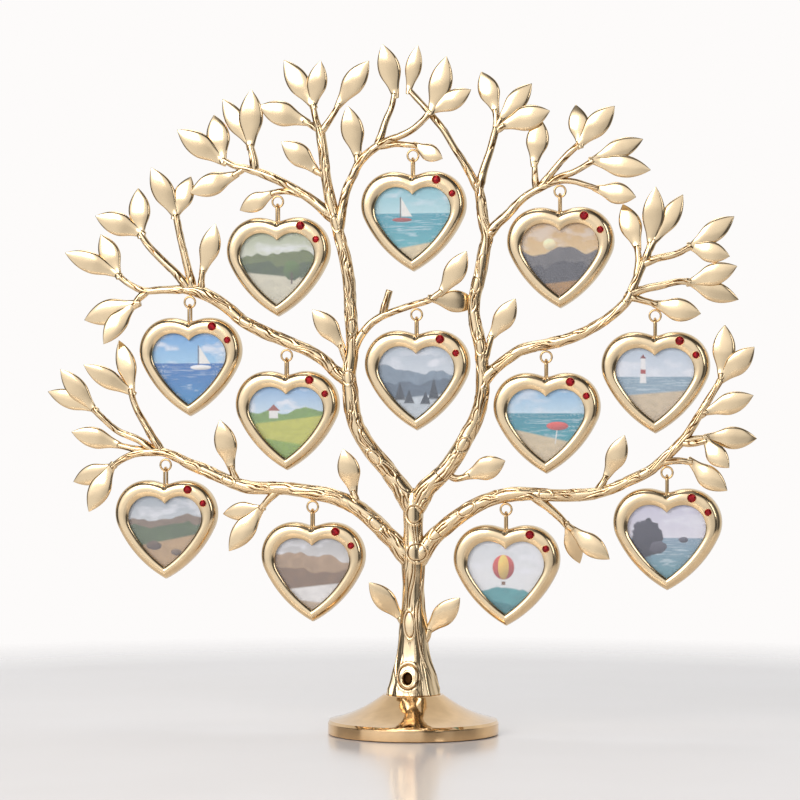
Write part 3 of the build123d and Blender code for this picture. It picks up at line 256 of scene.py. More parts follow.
# Routes of the limbs and twigs: x, z and thickness at each point
routes = {
    "trunk": {
        "left_limb_stub": ((0, 3180, 250), (-120, 3460, 258), (-230, 3620, 252), (-350, 3780, 246)),
        "right_limb_stub": ((20, 3180, 250), (200, 3560, 258), (400, 3740, 252)),
        "left_low_stub": ((0, 2400, 240), (-145, 2630, 248), (-275, 2785, 250), (-410, 2905, 248)),
        "right_low_stub": ((20, 2400, 230), (135, 2620, 240), (240, 2770, 240), (380, 2920, 238)),
        "left_leaf_stem": ((-80, 1520, 110), (-205, 1690, 100)),
        "right_leaf_stem": ((100, 1260, 115), (205, 1420, 105), (235, 1520, 95)),
    },
    "left_limb": {
        "limb": ((-350, 3780, 246), (-660, 4150, 243), (-860, 4500, 232), (-935, 4960, 222), (-955, 5195, 215),
            (-905, 5600, 182), (-935, 6135, 190), (-965, 6620, 180), (-1105, 7250, 170), (-1220, 7670, 165),
            (-1305, 8120, 152), (-1360, 8590, 145), (-1400, 8810, 130)),
        "middle_stub": ((-945, 5060, 185), (-1040, 5165, 180), (-1185, 5275, 175)),
        "sprig_stub": ((-905, 5480, 125), (-865, 5610, 122), (-735, 5830, 118)),
        "lone_leaf_stem": ((-945, 5280, 100), (-1025, 5480, 90), (-1090, 5640, 82)),
        "outer_branch": ((-1170, 7460, 160), (-1400, 7670, 150), (-1825, 7950, 135), (-2230, 8140, 122),
            (-2490, 8225, 112), (-2700, 8280, 95), (-2870, 8375, 80)),
        "outer_low_stem": ((-2520, 8230, 90), (-2710, 8125, 80)),
        "hook_stem": ((-1600, 7810, 100), (-1850, 7880, 88), (-2030, 7880, 85), (-2130, 7850, 80)),
        "outer_up_stem": ((-2360, 8180, 120), (-2400, 8400, 115), (-2445, 8580, 100)),
        "side_stem": ((-1310, 8100, 100), (-1480, 8200, 85)),
        "top_left_stem": ((-1390, 8760, 100), (-1490, 8830, 92), (-1640, 8910, 80)),
        "top_stem": ((-1395, 8740, 105), (-1445, 8900, 95), (-1500, 9150, 85)),
        "top_right_stem": ((-1385, 8720, 105), (-1200, 8985, 88), (-1090, 9160, 80)),
        "inner_branch": ((-1110, 7270, 150), (-1060, 7620, 135), (-1000, 7880, 130), (-900, 8095, 130),
            (-800, 8290, 128), (-650, 8440, 125), (-510, 8540, 118)),
        "inner_leaf_stem": ((-820, 8220, 100), (-835, 8410, 85)),
        "inner_up_branch": ((-550, 8500, 112), (-470, 8700, 105), (-410, 8890, 98), (-330, 9080, 90),
            (-285, 9290, 85)),
        "crossing_branch": ((-540, 8510, 110), (-350, 8610, 105), (-170, 8670, 100), (10, 8760, 98),
            (150, 8870, 95), (280, 9020, 88)),
        "first_ring_stem": ((-530, 8510, 98), (-260, 8550, 88), (-90, 8535, 85), (60, 8520, 80)),
    },
    "right_limb": {
        "limb": ((400, 3740, 252), (555, 3920, 245), (770, 4270, 235), (935, 4600, 210), (1015, 4900, 195),
            (1020, 5200, 190), (1000, 5535, 185), (893, 6125, 180), (910, 6340, 182), (970, 6580, 180),
            (1035, 6950, 178), (1085, 7200, 175), (1040, 7400, 160), (990, 7750, 150), (960, 7910, 135)),
        "low_leaf_stem": ((505, 3765, 110), (605, 3705, 95), (750, 3720, 88), (830, 3755, 82)),
        "middle_stub": ((1020, 5050, 175), (1100, 5190, 170), (1200, 5285, 165)),
        "lone_leaf_stem": ((1010, 5350, 105), (1070, 5475, 95), (1115, 5625, 90), (1160, 5770, 82)),
        "crossing_branch": ((975, 7830, 125), (790, 8190, 112), (590, 8500, 105), (430, 8760, 100),
            (315, 8900, 95), (135, 9110, 90), (40, 9210, 88), (-70, 9330, 83)),
        "up_branch": ((965, 7850, 125), (1045, 8180, 118), (1125, 8410, 112), (1180, 8610, 110),
            (1225, 8770, 105)),
        "up_left_stem": ((1205, 8680, 90), (1220, 8850, 88), (1195, 9030, 80)),
        "up_middle_stem": ((1220, 8750, 85), (1300, 8900, 80)),
        "up_right_stem": ((1210, 8700, 95), (1350, 8800, 88)),
        "side_branch": ((1080, 7160, 145), (1220, 7360, 138), (1360, 7480, 132), (1520, 7650, 125),
            (1660, 7770, 118), (1820, 7860, 110), (1975, 7930, 95), (2150, 7975, 85), (2350, 7965, 85),
            (2540, 7910, 85), (2710, 7850, 82)),
        "side_up_stem": ((1800, 7840, 98), (1785, 8100, 88), (1780, 8270, 80)),
        "side_long_branch": ((1840, 7870, 100), (2000, 8060, 98), (2280, 8370, 94), (2435, 8500, 90)),
        "side_middle_branch": ((1950, 7920, 95), (2160, 8040, 95), (2330, 8095, 92), (2480, 8170, 90),
            (2640, 8265, 85)),
    },
    "left_low": {
        "branch": ((-410, 2905, 248), (-550, 3040, 246), (-750, 3210, 238), (-955, 3340, 230),
            (-1200, 3425, 222), (-1500, 3485, 208), (-1930, 3545, 192), (-2210, 3545, 188), (-2480, 3560, 185),
            (-2700, 3625, 182), (-3170, 3820, 170), (-3375, 3900, 155), (-3580, 4000, 138), (-3760, 4062, 132),
            (-3950, 4070, 125), (-4160, 4050, 108), (-4410, 3950, 98), (-4570, 3840, 90)),
        "near_leaf_stem": ((-830, 3280, 110), (-865, 3420, 95), (-895, 3520, 85)),
        "hanging_branch": ((-1980, 3540, 110), (-2145, 3400, 98), (-2290, 3230, 90)),
        "far_leaf_stem": ((-2620, 3605, 110), (-2700, 3760, 95), (-2735, 3870, 85)),
        "rising_branch": ((-3780, 4070, 115), (-3950, 4310, 112), (-4060, 4490, 108), (-4180, 4690, 102),
            (-4265, 4920, 92), (-4285, 5000, 85)),
        "leaning_branch": ((-3900, 4080, 115), (-4120, 4230, 108), (-4490, 4390, 100), (-4660, 4530, 98),
            (-4850, 4710, 90)),
        "level_stem": ((-4020, 4080, 100), (-4290, 4130, 92), (-4470, 4170, 85)),
    },
    "right_low": {
        "branch": ((380, 2920, 238), (535, 3050, 234), (710, 3180, 230), (910, 3300, 220), (1110, 3395, 210),
            (1310, 3455, 205), (1505, 3485, 200), (1740, 3485, 192), (1975, 3470, 186), (2450, 3475, 172),
            (2660, 3500, 165), (2820, 3540, 160), (3100, 3660, 150), (3460, 3840, 146), (3690, 4045, 140),
            (3925, 4275, 130), (4140, 4605, 115), (4350, 4950, 98), (4460, 5120, 90)),
        "hanging_branch": ((1730, 3465, 125), (1975, 3300, 118), (2135, 3160, 112), (2255, 3030, 102)),
        "hanging_side_stem": ((2210, 3070, 90), (2350, 2970, 85)),
        "near_leaf_stem": ((2660, 3500, 115), (2770, 3650, 98), (2825, 3760, 85)),
        "last_ring_stem": ((3570, 3920, 105), (3690, 3958, 98), (3870, 3970, 95), (4060, 3945, 85)),
        "curled_stem": ((3870, 4225, 92), (4060, 4215, 88), (4270, 4260, 82)),
        "level_stem": ((3890, 4235, 95), (4100, 4285, 88), (4300, 4305, 80)),
        "high_stem": ((4120, 4580, 95), (4270, 4675, 80)),
        "tip_stem": ((4450, 5090, 85), (4465, 5220, 78)),
    },
    "left_middle": {
        "branch": ((-1185, 5275, 175), (-1325, 5410, 175), (-1505, 5525, 178), (-1890, 5690, 180),
            (-2250, 5840, 182), (-2590, 6020, 184), (-2750, 6160, 182), (-3060, 6360, 180), (-3260, 6440, 172),
            (-3450, 6465, 130)),
        "inner_leaf_stem": ((-3175, 6400, 105), (-3185, 6570, 95), (-3160, 6750, 85)),
        "upright_branch": ((-3305, 6450, 118), (-3420, 6880, 115), (-3500, 7200, 110), (-3550, 7440, 105),
            (-3580, 7570, 95)),
        "leaning_branch": ((-3350, 6450, 125), (-3580, 6710, 120), (-3830, 6940, 115), (-4040, 7170, 105),
            (-4125, 7305, 95)),
        "level_branch": ((-3400, 6465, 125), (-3750, 6460, 115), (-4100, 6460, 105), (-4290, 6550, 95),
            (-4485, 6700, 88)),
        "falling_branch": ((-4000, 6445, 105), (-4150, 6320, 100), (-4210, 6220, 92)),
    },
    "right_middle": {
        "branch": ((1200, 5285, 165), (1425, 5460, 163), (1560, 5545, 162), (1700, 5590, 162),
            (1945, 5635, 162), (2225, 5700, 160), (2420, 5770, 157), (2710, 5920, 148), (3000, 6130, 138),
            (3110, 6250, 138), (3240, 6530, 125), (3360, 6810, 112)),
        "ring_stem": ((3110, 6290, 105), (3220, 6290, 100), (3360, 6250, 95), (3560, 6195, 85)),
        "low_branch": ((3140, 6340, 115), (3310, 6400, 110), (3620, 6470, 105), (3890, 6520, 98),
            (4040, 6510, 88)),
        "inner_leaf_stem": ((3250, 6550, 108), (3280, 6830, 95), (3250, 7040, 85)),
        "upright_stem": ((3350, 6780, 108), (3420, 6940, 100), (3460, 7090, 85)),
        "upright_side_stem": ((3400, 6900, 90), (3520, 7120, 80)),
        "high_branch": ((3340, 6760, 108), (3480, 6830, 104), (3810, 6910, 96), (4050, 7025, 88)),
    },
    "centre_sprig": {
        "twig": ((-735, 5830, 118), (-625, 5950, 114), (-500, 6035, 110), (-320, 6110, 108), (10, 6215, 100),
            (160, 6255, 100), (300, 6305, 92)),
        "cut_stub": ((-470, 6050, 105), (-430, 6170, 102), (-350, 6430, 100)),
        "up_leaf_stem": ((250, 6280, 92), (430, 6420, 80)),
    },
}
# How far a route has come forward (-) or back (+) at its end
route_depths = {
    "left_limb crossing_branch": -85,
    "left_limb inner_up_branch": 30,
    "right_limb crossing_branch": 70,
    "right_limb up_left_stem": 40,
    "right_limb side_long_branch": -30,
    "left_middle falling_branch": -50,
    "left_low rising_branch": 40,
    "right_low curled_stem": -45,
    "right_middle inner_leaf_stem": 50,
}
# Leaves: foot x, foot z, tip x, tip z, width, tip depth, sideways bow
leaves = {
    "trunk": ((-205, 1700, -635, 2190, 310, -100, 0), (230, 1510, 700, 1980, 320, -60, 0)),
    "left_limb": ((-1090, 5640, -1495, 6150, 320, -40, 20), (-2880, 8355, -3540, 8810, 350, -40, 0),
        (-2870, 8400, -3010, 9030, 350, 60, 0), (-2710, 8125, -3340, 7880, 340, -40, 0),
        (-2130, 7850, -2610, 7620, 280, 40, 0), (-2455, 8600, -2875, 9260, 300, 60, 0),
        (-2440, 8590, -2415, 9380, 365, -40, 0), (-1480, 8200, -1960, 8610, 330, -40, 20),
        (-1640, 8910, -2300, 9140, 360, -30, 0), (-1510, 9160, -1940, 9810, 330, 40, 0),
        (-1490, 9160, -1370, 9780, 300, -40, 0), (-1090, 9160, -650, 9760, 330, -40, -10),
        (-835, 8410, -965, 9110, 340, -60, 0), (-285, 9300, -450, 9995, 330, -40, 10),
        (290, 9040, 510, 9790, 340, -100, 20), (310, 9030, 870, 9305, 290, -100, 10),
        (60, 8520, 445, 8320, 250, -60, 10)),
    "right_limb": ((830, 3755, 1360, 3960, 340, -40, 0), (1160, 5770, 1510, 6290, 310, -40, 10),
        (-80, 9340, 60, 9980, 240, 40, 0), (1195, 9030, 985, 9580, 310, 90, 10),
        (1300, 8900, 1730, 9390, 290, 60, 0), (1350, 8800, 2010, 8980, 360, -50, 0),
        (2710, 7850, 3255, 7725, 310, -70, 0), (1780, 8270, 1860, 8880, 330, 30, 0),
        (2445, 8520, 2370, 9070, 300, 50, 10), (2455, 8510, 2945, 9030, 330, -50, -10),
        (2650, 8280, 3340, 8560, 290, 50, 0), (2650, 8260, 3460, 8110, 320, -40, 10)),
    "left_low": ((-895, 3520, -1035, 4120, 330, -40, 10), (-2285, 3245, -2870, 3160, 270, 60, 0),
        (-2295, 3220, -2750, 2620, 330, -50, 10), (-2735, 3870, -2890, 4540, 335, -40, 0),
        (-4275, 4980, -4480, 5720, 300, 100, 20), (-4275, 4950, -4980, 5355, 290, -50, 0),
        (-4850, 4710, -5340, 5290, 300, -50, 0), (-4840, 4700, -5570, 4960, 280, 60, 10),
        (-4470, 4170, -5170, 4360, 310, -40, 10), (-4570, 3840, -5170, 3620, 300, 50, 0),
        (-4570, 3830, -4900, 3180, 330, -50, 10)),
    "right_low": ((2265, 3030, 2415, 2485, 255, 140, 10), (2350, 2970, 2870, 2560, 310, -40, 10),
        (2825, 3760, 3090, 4330, 300, -40, 10), (4060, 3945, 4550, 3550, 320, -40, 20),
        (4270, 4260, 4585, 3875, 290, -120, 30), (4300, 4305, 4960, 4290, 320, 40, 0),
        (4270, 4675, 4920, 4900, 310, -40, 0), (4465, 5220, 4510, 5900, 325, 40, 10),
        (4470, 5130, 4935, 5585, 310, -50, 0)),
    "left_middle": ((-3160, 6750, -2960, 7420, 310, -40, 10), (-3590, 7580, -3940, 8260, 330, -40, 0),
        (-3580, 7570, -3360, 8130, 310, 60, 0), (-4135, 7305, -4800, 7560, 340, -40, 10),
        (-4120, 7310, -4170, 7970, 330, 60, 0), (-4490, 6700, -5270, 7020, 310, -40, 10),
        (-4480, 6710, -4750, 7290, 320, 60, 10), (-4200, 6240, -4970, 6020, 370, -40, 10),
        (-4210, 6220, -4640, 5660, 310, -150, 40)),
    "right_middle": ((3560, 6195, 4175, 6060, 330, -40, 10), (4030, 6510, 4700, 6260, 290, 60, 10),
        (4040, 6510, 4690, 6730, 310, -40, 0), (3250, 7040, 3040, 7640, 320, 120, 10),
        (3460, 7090, 3535, 7870, 320, -40, 0), (3520, 7120, 3910, 7760, 280, 60, 10),
        (4050, 7030, 4640, 7440, 295, 50, 10), (4050, 7020, 4585, 6870, 300, -40, 10)),
    "centre_sprig": ((430, 6420, 795, 6980, 320, -40, 10), (300, 6305, 920, 6225, 320, 185, 0)),
}
# Each casting's name in the tables here and its CAD node
castings = (
    ("trunk", "trunk"),
    ("left_limb", "left_limb"),
    ("right_limb", "right_limb"),
    ("left_low", "left_low_branch"),
    ("right_low", "right_low_branch"),
    ("left_middle", "left_middle_branch"),
    ("right_middle", "right_middle_branch"),
    ("centre_sprig", "centre_sprig"),
)
# Routes with more points round them than a twig
thick_routes = ("limb", "branch", "left_limb_stub", "right_limb_stub", "left_low_stub",
                "right_low_stub", "middle_stub")
# Each casting plugs on a stub of another: casting, its first route, the other casting, the stub
seams = (
    ("left_limb", "limb", "trunk", "left_limb_stub"),
    ("right_limb", "limb", "trunk", "right_limb_stub"),
    ("left_low", "branch", "trunk", "left_low_stub"),
    ("right_low", "branch", "trunk", "right_low_stub"),
    ("left_middle", "branch", "left_limb", "middle_stub"),
    ("right_middle", "branch", "right_limb", "middle_stub"),
    ("centre_sprig", "twig", "left_limb", "sprig_stub"),
)
# Carved ovals on the bark: x, z, half width and half height, then the lean in degrees
ovals = {
    "trunk": ((82, 2630, 130, 118, 0), (-20, 1590, 72, 180, 4), (-15, 850, 150, 172, 0),
              (40, 3180, 112, 125, 0), (-108, 3625, 72, 150, 44), (376, 2923, 72, 130, -48)),
    "left_limb": ((-950, 5160, 75, 95, 8), (-563, 3997, 70, 115, 42), (-1140, 7400, 55, 110, 12),
                  (-890, 5900, 50, 105, 0)),
    "right_limb": ((760, 4190, 75, 105, -35), (1000, 5600, 55, 105, 0), (930, 6500, 55, 100, 0)),
    "left_low": ((-530, 3040, 80, 100, 50), (-2760, 3650, 58, 90, 70)),
    "right_low": ((800, 3260, 70, 120, -55), (1950, 3475, 62, 90, 90), (3370, 3790, 50, 75, -60)),
    "left_middle": ((-2500, 5975, 58, 90, 60),),
    "right_middle": ((3140, 6310, 50, 80, -25),),
    "centre_sprig": (),
}
# The hollow in the trunk's lowest oval: x, z, half width, half height
hollow = (-28, 820, 78, 92)


def srgb(hex_colour):
    """A hex colour as linear light, by the sRGB curve."""
    value = np.array([int(hex_colour[i:i + 2], 16) / 255 for i in (1, 3, 5)])
    linear = np.where(value <= 0.04045, value / 12.92, ((value + 0.055) / 1.055) ** 2.4)
    return tuple(float(part) for part in linear)


def scaled(rows):
    """Rows of a table as shares of the tree's height."""
    return np.array(rows, float) / UNIT


def place(x, z, depth=0.0):
    """A point of the tree from its shares. The tree grows from the top of the foot."""
    x = np.asarray(x, float) * TREE_HEIGHT
    z = FOOT_TOP + (np.asarray(z, float) - FOOT_SHARE) * TREE_HEIGHT
    return np.stack([x, np.zeros_like(x) + depth, z], -1)


def full_turn(count):
    """Even steps once round a circle."""
    return np.linspace(0, 2 * math.pi, count, endpoint=False)


def unit(vectors):
    """The vectors scaled to a length of 1."""
    return vectors / np.linalg.norm(vectors, axis=-1, keepdims=True)


def bell(value, middle, width):
    """A bell curve: 1 at the middle, falling off over the width on both sides."""
    return np.exp(-((value - middle) / width) ** 2)


def smooth_through(knots, values, along):
    """Cubic pieces through the values at the knots, whose slopes come from the neighbours."""
    slopes = np.gradient(values, knots, axis=0)
    piece = np.clip(np.searchsorted(knots, along, side="right") - 1, 0, len(knots) - 2)
    upright = (-1,) + (1,) * (np.ndim(values) - 1)
    width = np.diff(knots)[piece].reshape(upright)
    part = (along - knots[piece]).reshape(upright) / width
    leave, reach = slopes[piece] * width, slopes[piece + 1] * width
    return ((2 * part**3 - 3 * part**2 + 1) * values[piece] + (part**3 - 2 * part**2 + part) * leave
            + (3 * part**2 - 2 * part**3) * values[piece + 1] + (part**3 - part**2) * reach)


def grid_faces(rows, columns, wrap_rows=False):
    """Quads between neighbours of a grid of rows and columns. The columns close round."""
    row = np.arange(rows if wrap_rows else rows - 1)[:, None]
    column = np.arange(columns)[None, :]
    next_row, next_column = (row + 1) % rows, (column + 1) % columns
    corners = (row * columns + column, row * columns + next_column,
               next_row * columns + next_column, next_row * columns + column)
    return np.stack(np.broadcast_arrays(*corners), -1).reshape(-1, 4)


def capped(surface):
    """A tube's grid as points and faces, each end closed by a fan round its middle."""
    rows, columns = surface.shape[:2]
    points = surface.reshape(-1, 3)
    ends = np.stack([surface[0].mean(0), surface[-1].mean(0)])
    column = np.arange(columns)
    following = (column + 1) % columns
    last = (rows - 1) * columns
    start = np.stack([np.full(columns, len(points)), following, column], -1)
    end = np.stack([np.full(columns, len(points) + 1), last + column, last + following], -1)
    return np.concatenate([points, ends]), grid_faces(rows, columns), np.concatenate([start, end])


def looped(surface):
    """A grid closed both ways as points and faces."""
    quads = grid_faces(*surface.shape[:2], wrap_rows=True)[:, ::-1]
    return surface.reshape(-1, 3), quads, np.zeros((0, 3), int)


def make_piece(name, parts, kind, body, replaced, smooth=True, values=None):
    """One object from parts of points, quads and triangles. It rides on its body."""
    points, faces, count = [], [], 0
    for part_points, quads, triangles in parts:
        points.append(part_points)
        faces += (quads + count).tolist() + (triangles + count).tolist()
        count += len(part_points)
    mesh = bpy.data.meshes.new(name)
    mesh.from_pydata(np.concatenate(points).tolist(), [], faces)
    mesh.polygons.foreach_set("use_smooth", np.full(len(faces), smooth))
    for label, (data_kind, numbers) in (values or {}).items():
        attribute = mesh.attributes.new(label, data_kind, "POINT")
        field = "color" if data_kind == "FLOAT_COLOR" else "value"
        attribute.data.foreach_set(field, np.asarray(numbers, np.float32).ravel())
    mesh.update()
    piece = bpy.data.objects.new(name, mesh)
    bpy.context.scene.collection.objects.link(piece)
    mesh.materials.append(finish_for(kind))
    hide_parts(replaced)
    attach(piece, body)


def moved(part, offset):
    """The same part, shifted."""
    points, quads, triangles = part
    return points + np.asarray(offset), quads, triangles


def route_rows(casting, route):
    """The points of a route in metres, each with the wood's radius."""
    x, z, thickness = scaled(routes[casting][route]).T
    return np.column_stack([place(x, z), thickness * TREE_HEIGHT / 2])


def route_depth(casting, route):
    """How far forward or back a route ends, in metres."""
    return route_depths.get(f"{casting} {route}", 0) / UNIT * TREE_HEIGHT


def route_curve(casting, route, step):
    """A smooth curve through a route's points, and the radius along it. At a joint between two
    castings the neighbour is the other casting's point, so the curve runs on."""
    rows = route_rows(casting, route)
    rows[:, 1] += route_depth(casting, route) * np.linspace(0, 1, len(rows))
    first, last = 0, len(rows) - 1
    for child, child_route, parent, stub in seams:
        if (child, child_route) == (casting, route):
            rows = np.concatenate([route_rows(parent, stub)[-2:-1], rows])
            first, last = first + 1, last + 1
        if (parent, stub) == (casting, route):
            rows = np.concatenate([rows, route_rows(child, child_route)[1:2]])
    knots = np.concatenate([[0], np.cumsum(np.linalg.norm(np.diff(rows[:, :3], axis=0), axis=1))])
    count = max(6, int((knots[last] - knots[first]) / step) + 1)
    along = np.linspace(knots[first], knots[last], count)
    curve = smooth_through(knots, rows, along)
    return along - knots[first], curve[:, :3], curve[:, 3]


def route_seed(casting, route):
    """A number of its own for each route, which sets where its carved lines run."""
    return 17 * list(routes).index(casting) + 3 * list(routes[casting]).index(route) + 1


def bark_relief(along, turn, radius, spacing, seed, stretch=1.0):
    """Raised cords (0 to 1) and the carved lines on both sides of each (0 to 1). Two families of cords
    run lengthwise and wave against each other, so they meet and part in long lens shapes. Each cord
    fades in and out on its way. The stretch lengthens the waves."""
    count = max(2, round(2 * math.pi * float(radius.mean()) / MM / spacing))
    # A sine of far-apart numbers gives phases that look random and are the same in each run
    phase = np.sin(np.arange(1, 9) * 12.9898 * (seed + 1)) * math.pi
    s = 2 * math.pi * along[:, None] / MM / stretch
    grooves = cords = 0
    for lean, short, long, fade, first in cord_families:
        sway = LONG_SWAY * np.sin(s / long + phase[first])
        sway = sway + SHORT_SWAY * np.sin(s / short + phase[first + 1] + 2 * turn[None, :])
        line = count * turn[None, :] + lean * sway + phase[first + 2] + first
        index = np.floor(line / (2 * math.pi) + 0.5)
        across = (line - 2 * math.pi * index) / count * radius[:, None] / MM
        # Every cord fades at places of its own, 2.4 radians on from its neighbour's
        strength = np.sin(s / fade + 2.4 * (index % count) + phase[first])
        strength = np.clip(FADE_LEVEL + FADE_SWING * strength, 0, 1)
        cord = bell(across, 0, CORD_WIDTH) * strength
        line = bell(np.abs(across), LINE_PLACE, LINE_WIDTH) * strength
        grooves = np.maximum(grooves * (1 - cord), line)
        cords = np.maximum(cords * (1 - line), cord)
    return grooves, cords


def carve_ovals(casting, points, outward, grooves, cords):
    """Raised rims round the carved ovals on the front, with smooth wood inside them. It changes the
    grooves and cords, and returns the lift."""
    lift = np.zeros(points.shape[:2])
    front = np.clip(-outward[..., 1] * OVAL_FRONT, 0, 1)
    for *shares, lean in ovals[casting]:
        x, z, half_width, half_height = scaled(shares)
        middle = place(x, z)
        right, up = points[..., 0] - middle[0], points[..., 2] - middle[2]
        turn = math.radians(lean)
        u = (right * math.cos(turn) + up * math.sin(turn)) / (half_width * TREE_HEIGHT)
        v = (up * math.cos(turn) - right * math.sin(turn)) / (half_height * TREE_HEIGHT)
        reach = np.hypot(u, v)
        smooth = 1 - front * np.clip((OVAL_CLEAR - reach) * OVAL_STEEPNESS, 0, 1)
        grooves *= smooth
        cords *= smooth
        rim = OVAL_RIM_HEIGHT * bell(reach, OVAL_RIM, OVAL_RIM_WIDTH)
        lift += front * (rim + OVAL_DOME_HEIGHT * np.clip(1 - reach**2, 0, 1)) * MM
        grooves += front * OVAL_LINE_DEPTH * bell(reach, 1, OVAL_LINE_WIDTH)
    return lift


def seam_relief(casting, route, along, turn, radius, spacing):
    """A route's carved lines. Past a joint between two castings the stub's lines run on and fade over
    into the route's own."""
    own = bark_relief(along, turn, radius, spacing, route_seed(casting, route))
    for child, child_route, parent, stub in seams:
        if (child, child_route) == (casting, route):
            stub_along, _, stub_radius = route_curve(parent, stub, BARK_STEP)
            same_count = spacing * radius.mean() / stub_radius.mean()
            run_on = bark_relief(along + stub_along[-1], turn, radius, same_count, route_seed(parent, stub))
            start, end = SEAM_BLEND
            share = np.clip((along - start) / (end - start), 0, 1)[:, None]
            return tuple(a * (1 - share) + b * share for a, b in zip(run_on, own))
    return own


def bark_tube(casting, route, step, around):
    """A limb or twig: a circle carried along its route, with a collar at its root and carved bark."""
    along, curve, radius = route_curve(casting, route, step)
    ahead = unit(np.gradient(curve, axis=0))
    back = unit(np.array([0.0, 1.0, 0.0]) - ahead * ahead[:, 1:2])
    turn = full_turn(around)
    outward = (back[:, None] * np.cos(turn)[None, :, None]
               + np.cross(ahead, back)[:, None] * np.sin(turn)[None, :, None])
    collar = 0 * along
    if not any(seam[:2] == (casting, route) for seam in seams):
        out = along / radius[0]
        root = np.clip(out / ROOT_LENGTH, 0, 1)
        swell = COLLAR_SWELL * bell(out, COLLAR_PLACE, COLLAR_WIDTH)
        collar = swell - ROOT_PINCH * (1 - root**2 * (3 - 2 * root))
        collar *= np.clip((along[-1] - along) / (COLLAR_FADE * along[-1]), 0, 1)
    sizes = bpy.context.scene.tree_sizes
    grooves, cords = (np.array(part) for part in seam_relief(
        casting, route, along, turn, radius, sizes.groove_spacing))
    surface = curve[:, None] + outward * (radius * (1 + collar))[:, None, None]
    lift = carve_ovals(casting, surface, outward, grooves, cords)
    wave = WAVE_SHARE * np.sin(along / MM / WAVE_LENGTH) * np.sin(math.pi * along / along[-1]) * radius
    thin = np.clip(radius / FULL_RADIUS, THIN_SHARE, 1.0)[:, None]
    carved = (CORD_SHARE * cords - LINE_SHARE * grooves) * sizes.groove_depth * thin
    height = lift + wave[:, None] + carved
    return capped(surface + outward * height[..., None]), np.concatenate([grooves.ravel(), [0, 0]])


def trunk_tube():
    """The trunk: circles whose radius follows the girth, with flutes that open into roots at the
    foot, carved bark, and a hollow pressed into the lowest oval, darkened with painted shade."""
    shares, girths = scaled(trunk_girths + crotch_girths).T
    knots = place(0 * shares, shares)[:, 2]
    height = np.linspace(knots[0], knots[-1], int((knots[-1] - knots[0]) / BARK_STEP) + 1)
    radius = smooth_through(knots, girths * TREE_HEIGHT, height)
    turn = full_turn(TRUNK_AROUND)
    ring = np.stack([-np.sin(turn), np.cos(turn), 0 * turn], -1)
    outward = np.broadcast_to(ring, (len(height), *ring.shape))
    sizes = bpy.context.scene.tree_sizes
    grooves, cords = (TRUNK_STRENGTH * part for part in bark_relief(
        height - knots[0], turn, radius, sizes.groove_spacing * TRUNK_SPACING, TRUNK_SEED, TRUNK_STRETCH))
    surface = outward * radius[:, None, None]
    surface[..., 2] = height[:, None]
    lift = carve_ovals("trunk", surface, outward, grooves, cords)
    x, z, half_width, half_height = scaled(hollow)
    centre = place(x, z)
    reach = np.hypot((surface[..., 0] - centre[0]) / (half_width * TREE_HEIGHT),
                     (surface[..., 2] - centre[2]) / (half_height * TREE_HEIGHT))
    front = np.clip(-outward[..., 1] * HOLLOW_FRONT, 0, 1)
    pit = front * np.clip((1 - reach) * HOLLOW_STEEPNESS, 0, 1)
    foot = np.exp(-(height - knots[0]) / FLUTE_REACH)[:, None]
    fluting = sum(share * np.cos(count * turn + shift) for count, share, shift in flutes)
    push = lift + fluting[None] * foot * FLUTE_DEPTH
    carved = (CORD_SHARE * cords - LINE_SHARE * grooves) * sizes.groove_depth
    push += carved * (1 + FLUTE_DEEPENING * foot)
    push += HOLLOW_RIM_HEIGHT * front * bell(reach, HOLLOW_RIM, OVAL_RIM_WIDTH) - pit * HOLLOW_DEPTH
    push = np.minimum(push, np.maximum(radius[0] - radius, PUSH_ROOM)[:, None])
    # Colour values: the grooves' brown patina, plus painted shade that darkens the hollow
    dark = np.clip(grooves + HOLLOW_PAINTED_SHADE * pit, 0, HOLLOW_PAINTED_SHADE)
    return capped(surface + outward * push[..., None]), np.concatenate([dark.ravel(), [0, 0]])


def leaf_foot_depth(casting, x, z):
    """How far forward or back the twig that carries the leaf ends."""
    def distance(route):
        end_x, end_z = scaled(routes[casting][route][-1])[:2]
        return float(np.hypot(*(place(end_x, end_z) - place(x, z))[[0, 2]]))
    return route_depth(casting, min(routes[casting], key=distance))


def signed_power(wave, power):
    """A wave raised to a power, which keeps its sign."""
    return np.sign(wave) * np.abs(wave)[None] ** power


